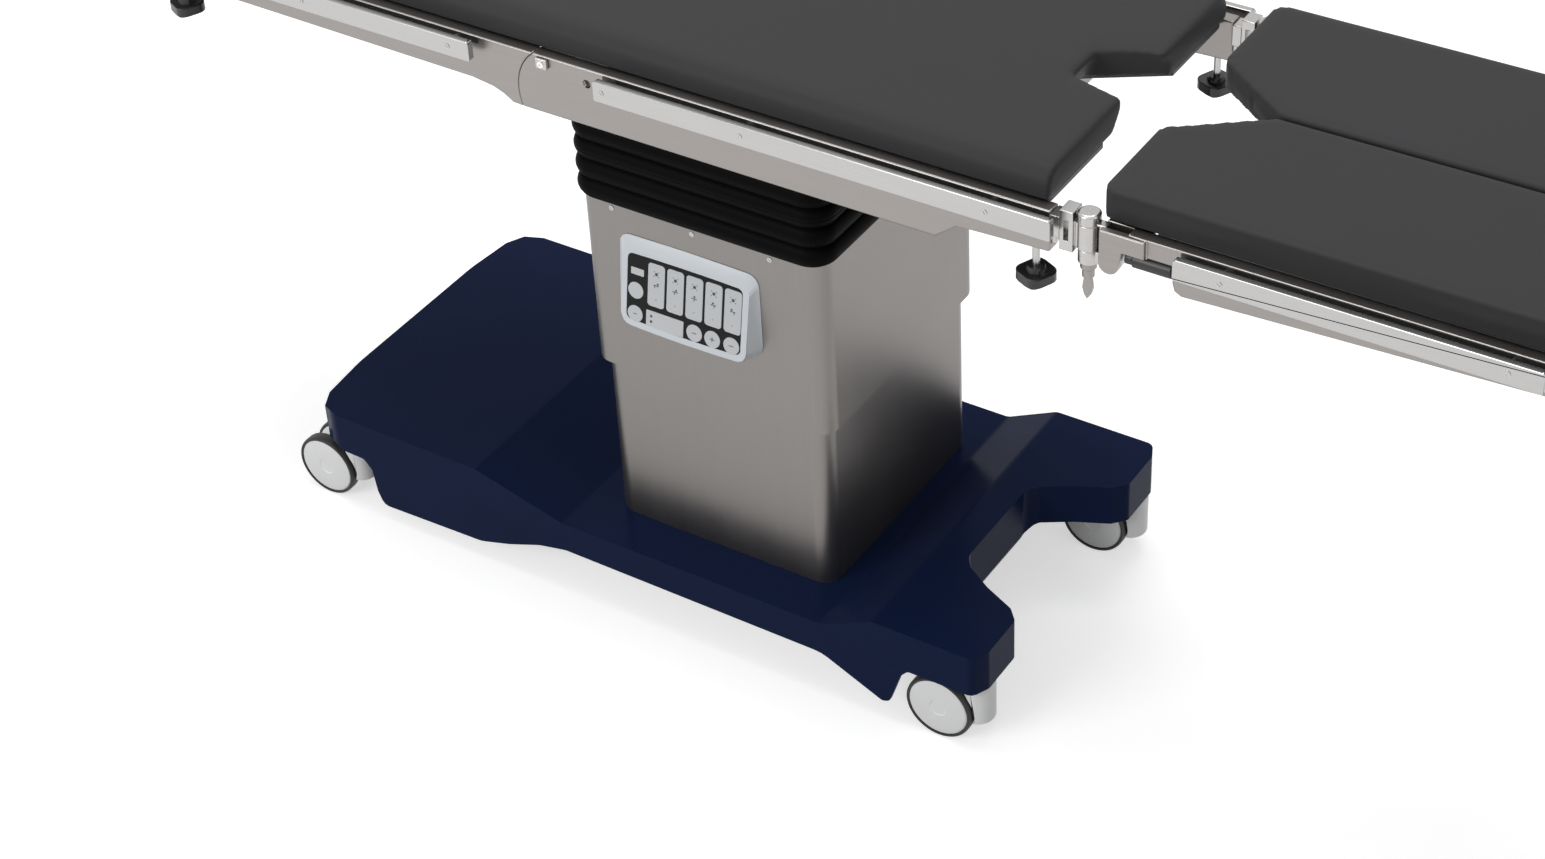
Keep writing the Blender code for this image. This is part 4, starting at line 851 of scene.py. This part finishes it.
def buildPads():
    pad = {"half": 0.2365, "low": 0.9104, "high": 0.9507, "topEdge": 0.024, "underEdge": 0.003,
           "endRound": 0.002, "voxel": 0.0046, "cap": 0.0013,
           "body": (-0.8165, 0.5335), "head": (-1.1105, -0.8835)}
    legFit = {"x": 0.885, "y": 0.119, "z": 0.916, "size": (0.995, 0.995, 0.967), "voxel": 0.0048,
              "cap": 0.0012}

    bodyPad = extrudedPad("bodyPad", pad, *[x + columnX for x in pad["body"]])
    cutter = notchCutter()
    carve = bodyPad.modifiers.new("notch", "BOOLEAN")
    carve.object = cutter
    carve.solver = "EXACT"
    notched = bakedMesh(bodyPad)
    bodyPad.modifiers.clear()
    bodyPad.data = notched
    bpy.data.objects.remove(cutter)
    puff(bodyPad, pad["voxel"], pad["cap"])
    finishPad(bodyPad)
    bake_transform(bodyPad)
    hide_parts("seat_pad", "flex_pad", "back_pad")

    headPad = extrudedPad("headPad", pad, *[x + columnX for x in pad["head"]])
    puff(headPad, pad["voxel"], pad["cap"])
    finishPad(headPad)
    mountOn(headPad, "head", "head_pad")

    for sideName, sign in sides:
        # the leg pads keep their CAD outline, drawn in a little to leave room for the puff
        build = nodeShape("leg_pad_" + sideName)
        middle = Vector((legFit["x"] + columnX, sign * legFit["y"], legFit["z"]))
        shrink = Matrix.Diagonal((*legFit["size"], 1))
        build.transform(Matrix.Translation(middle) @ shrink @ Matrix.Translation(-middle))
        legPad = pieceFrom("legPad_" + sideName, meshFrom(build, "legPad"), padCharcoal, 0)
        puff(legPad, legFit["voxel"], legFit["cap"])
        finishPad(legPad)
        mountOn(legPad, "leg_" + sideName, "leg_pad_" + sideName)


# studio
def directlySeen(tree):
    # 1 for rays from the camera and for mirror and glass rays, 0 for light that has been scattered
    path = tree.nodes.new("ShaderNodeLightPath")
    seen = path.outputs["Is Camera Ray"]
    for ray in ("Is Glossy Ray", "Is Transmission Ray"):
        either = tree.nodes.new("ShaderNodeMath")
        either.operation = "MAXIMUM"
        link(tree, seen, either.inputs[0])
        link(tree, path.outputs[ray], either.inputs[1])
        seen = either.outputs[0]
    return seen


def buildFloor():
    # each pair is the tone of the floor and its own glow
    floorLook = {"half": 14.0, "seen": (0.78, 0.56), "bounced": (0.32, 0.0)}
    build = bmesh.new()
    half = floorLook["half"]
    corners = ((-half, -half, 0), (half, -half, 0), (half, half, 0), (-half, half, 0))
    build.faces.new([build.verts.new(corner) for corner in corners])
    floor = bpy.data.objects.new("studioFloor", meshFrom(build, "studioFloor"))
    bpy.context.scene.collection.objects.link(floor)
    material = bpy.data.materials.new("paleFloor")
    material.use_nodes = True
    tree = material.node_tree
    seen = tree.nodes["Principled BSDF"]
    bounced = tree.nodes.new("ShaderNodeBsdfPrincipled")
    for shader, (pale, glow) in ((seen, floorLook["seen"]), (bounced, floorLook["bounced"])):
        shader.inputs["Base Color"].default_value = (pale, pale, pale, 1)
        shader.inputs["Emission Color"].default_value = (1, 1, 1, 1)
        shader.inputs["Emission Strength"].default_value = glow
        shader.inputs["Roughness"].default_value = 0.9
        shader.inputs["Specular IOR Level"].default_value = 0.1
    choose = tree.nodes.new("ShaderNodeMixShader")
    link(tree, directlySeen(tree), choose.inputs[0])
    link(tree, bounced.outputs[0], choose.inputs[1])
    link(tree, seen.outputs[0], choose.inputs[2])
    link(tree, choose.outputs[0], tree.nodes["Material Output"].inputs["Surface"])
    floor.data.materials.append(material)


def buildAir():
    # white where it is seen or mirrored, and a softer fill for everything else
    air = {"fill": 0.34, "backdrop": 1.0}
    world = bpy.data.worlds.new("studioAir")
    bpy.context.scene.world = world
    world.use_nodes = True
    tree = world.node_tree
    tree.nodes.clear()
    out = tree.nodes.new("ShaderNodeOutputWorld")
    fill = tree.nodes.new("ShaderNodeBackground")
    backdrop = tree.nodes.new("ShaderNodeBackground")
    for shader, strength in ((fill, air["fill"]), (backdrop, air["backdrop"])):
        shader.inputs["Color"].default_value = (1, 1, 1, 1)
        shader.inputs["Strength"].default_value = strength
    mix = tree.nodes.new("ShaderNodeMixShader")
    link(tree, directlySeen(tree), mix.inputs[0])
    link(tree, fill.outputs[0], mix.inputs[1])
    link(tree, backdrop.outputs[0], mix.inputs[2])
    link(tree, mix.outputs[0], out.inputs[0])


def softbox(name, place, target, size, power):
    lamp = bpy.data.lights.new(name, "AREA")
    lamp.shape = "RECTANGLE"
    lamp.size, lamp.size_y = size
    lamp.energy = power
    holder = bpy.data.objects.new(name, lamp)
    bpy.context.scene.collection.objects.link(holder)
    holder.location = place
    aim = Vector(target) - Vector(place)
    holder.rotation_euler = aim.to_track_quat("-Z", "Y").to_euler()


def buildCamera():
    # worked out from the photo's straight edges
    photo = {"x": 1.9227, "y": -2.8333, "z": 2.900, "lens": 70.98, "sensor": 36.0, "farthest": 60}
    right = Vector((0.84196, 0.53752, -0.04662))
    down = Vector((0.30193, -0.54102, -0.78494))
    forward = Vector((-0.44714, 0.64681, -0.61782))
    lens = bpy.data.cameras.new("photoCamera")
    camera = bpy.data.objects.new("photoCamera", lens)
    bpy.context.scene.collection.objects.link(camera)
    turn = Matrix((right, -down, -forward)).transposed().to_4x4()
    camera.matrix_world = Matrix.Translation((photo["x"] + columnX, photo["y"], photo["z"])) @ turn
    lens.sensor_fit = "HORIZONTAL"
    lens.sensor_width = photo["sensor"]
    lens.lens = photo["lens"]
    lens.clip_end = photo["farthest"]
    bpy.context.scene.camera = camera


def buildStudio():
    buildFloor()
    buildAir()
    softbox("overheadSoftbox", (-0.6, 0.8, 7.0), (0, 0, 0.6), (4.6, 3.4), 215)
    softbox("nearSoftbox", (-2.2, -5.8, 3.6), (0, 0, 0.5), (4.0, 2.6), 195)
    softbox("footSoftbox", (6.2, -0.8, 3.0), (0.4, 0, 0.6), (2.4, 2.6), 30)
    bpy.context.scene.view_settings.view_transform = "Standard"
    buildCamera()


buildStudio()
print("studio and camera set")
dressMetalAndShell()
print("metal and shell dressed")
buildCasters()
buildBellows()
buildPanel()
buildKnobs()
print("casters, bellows, panel and knobs made")
buildLatchBolts()
buildPaintedShadeStrips()
buildScrews()
print("rail strips and screws made")
buildPads()
print("pads made")

bpy.context.view_layer.update()
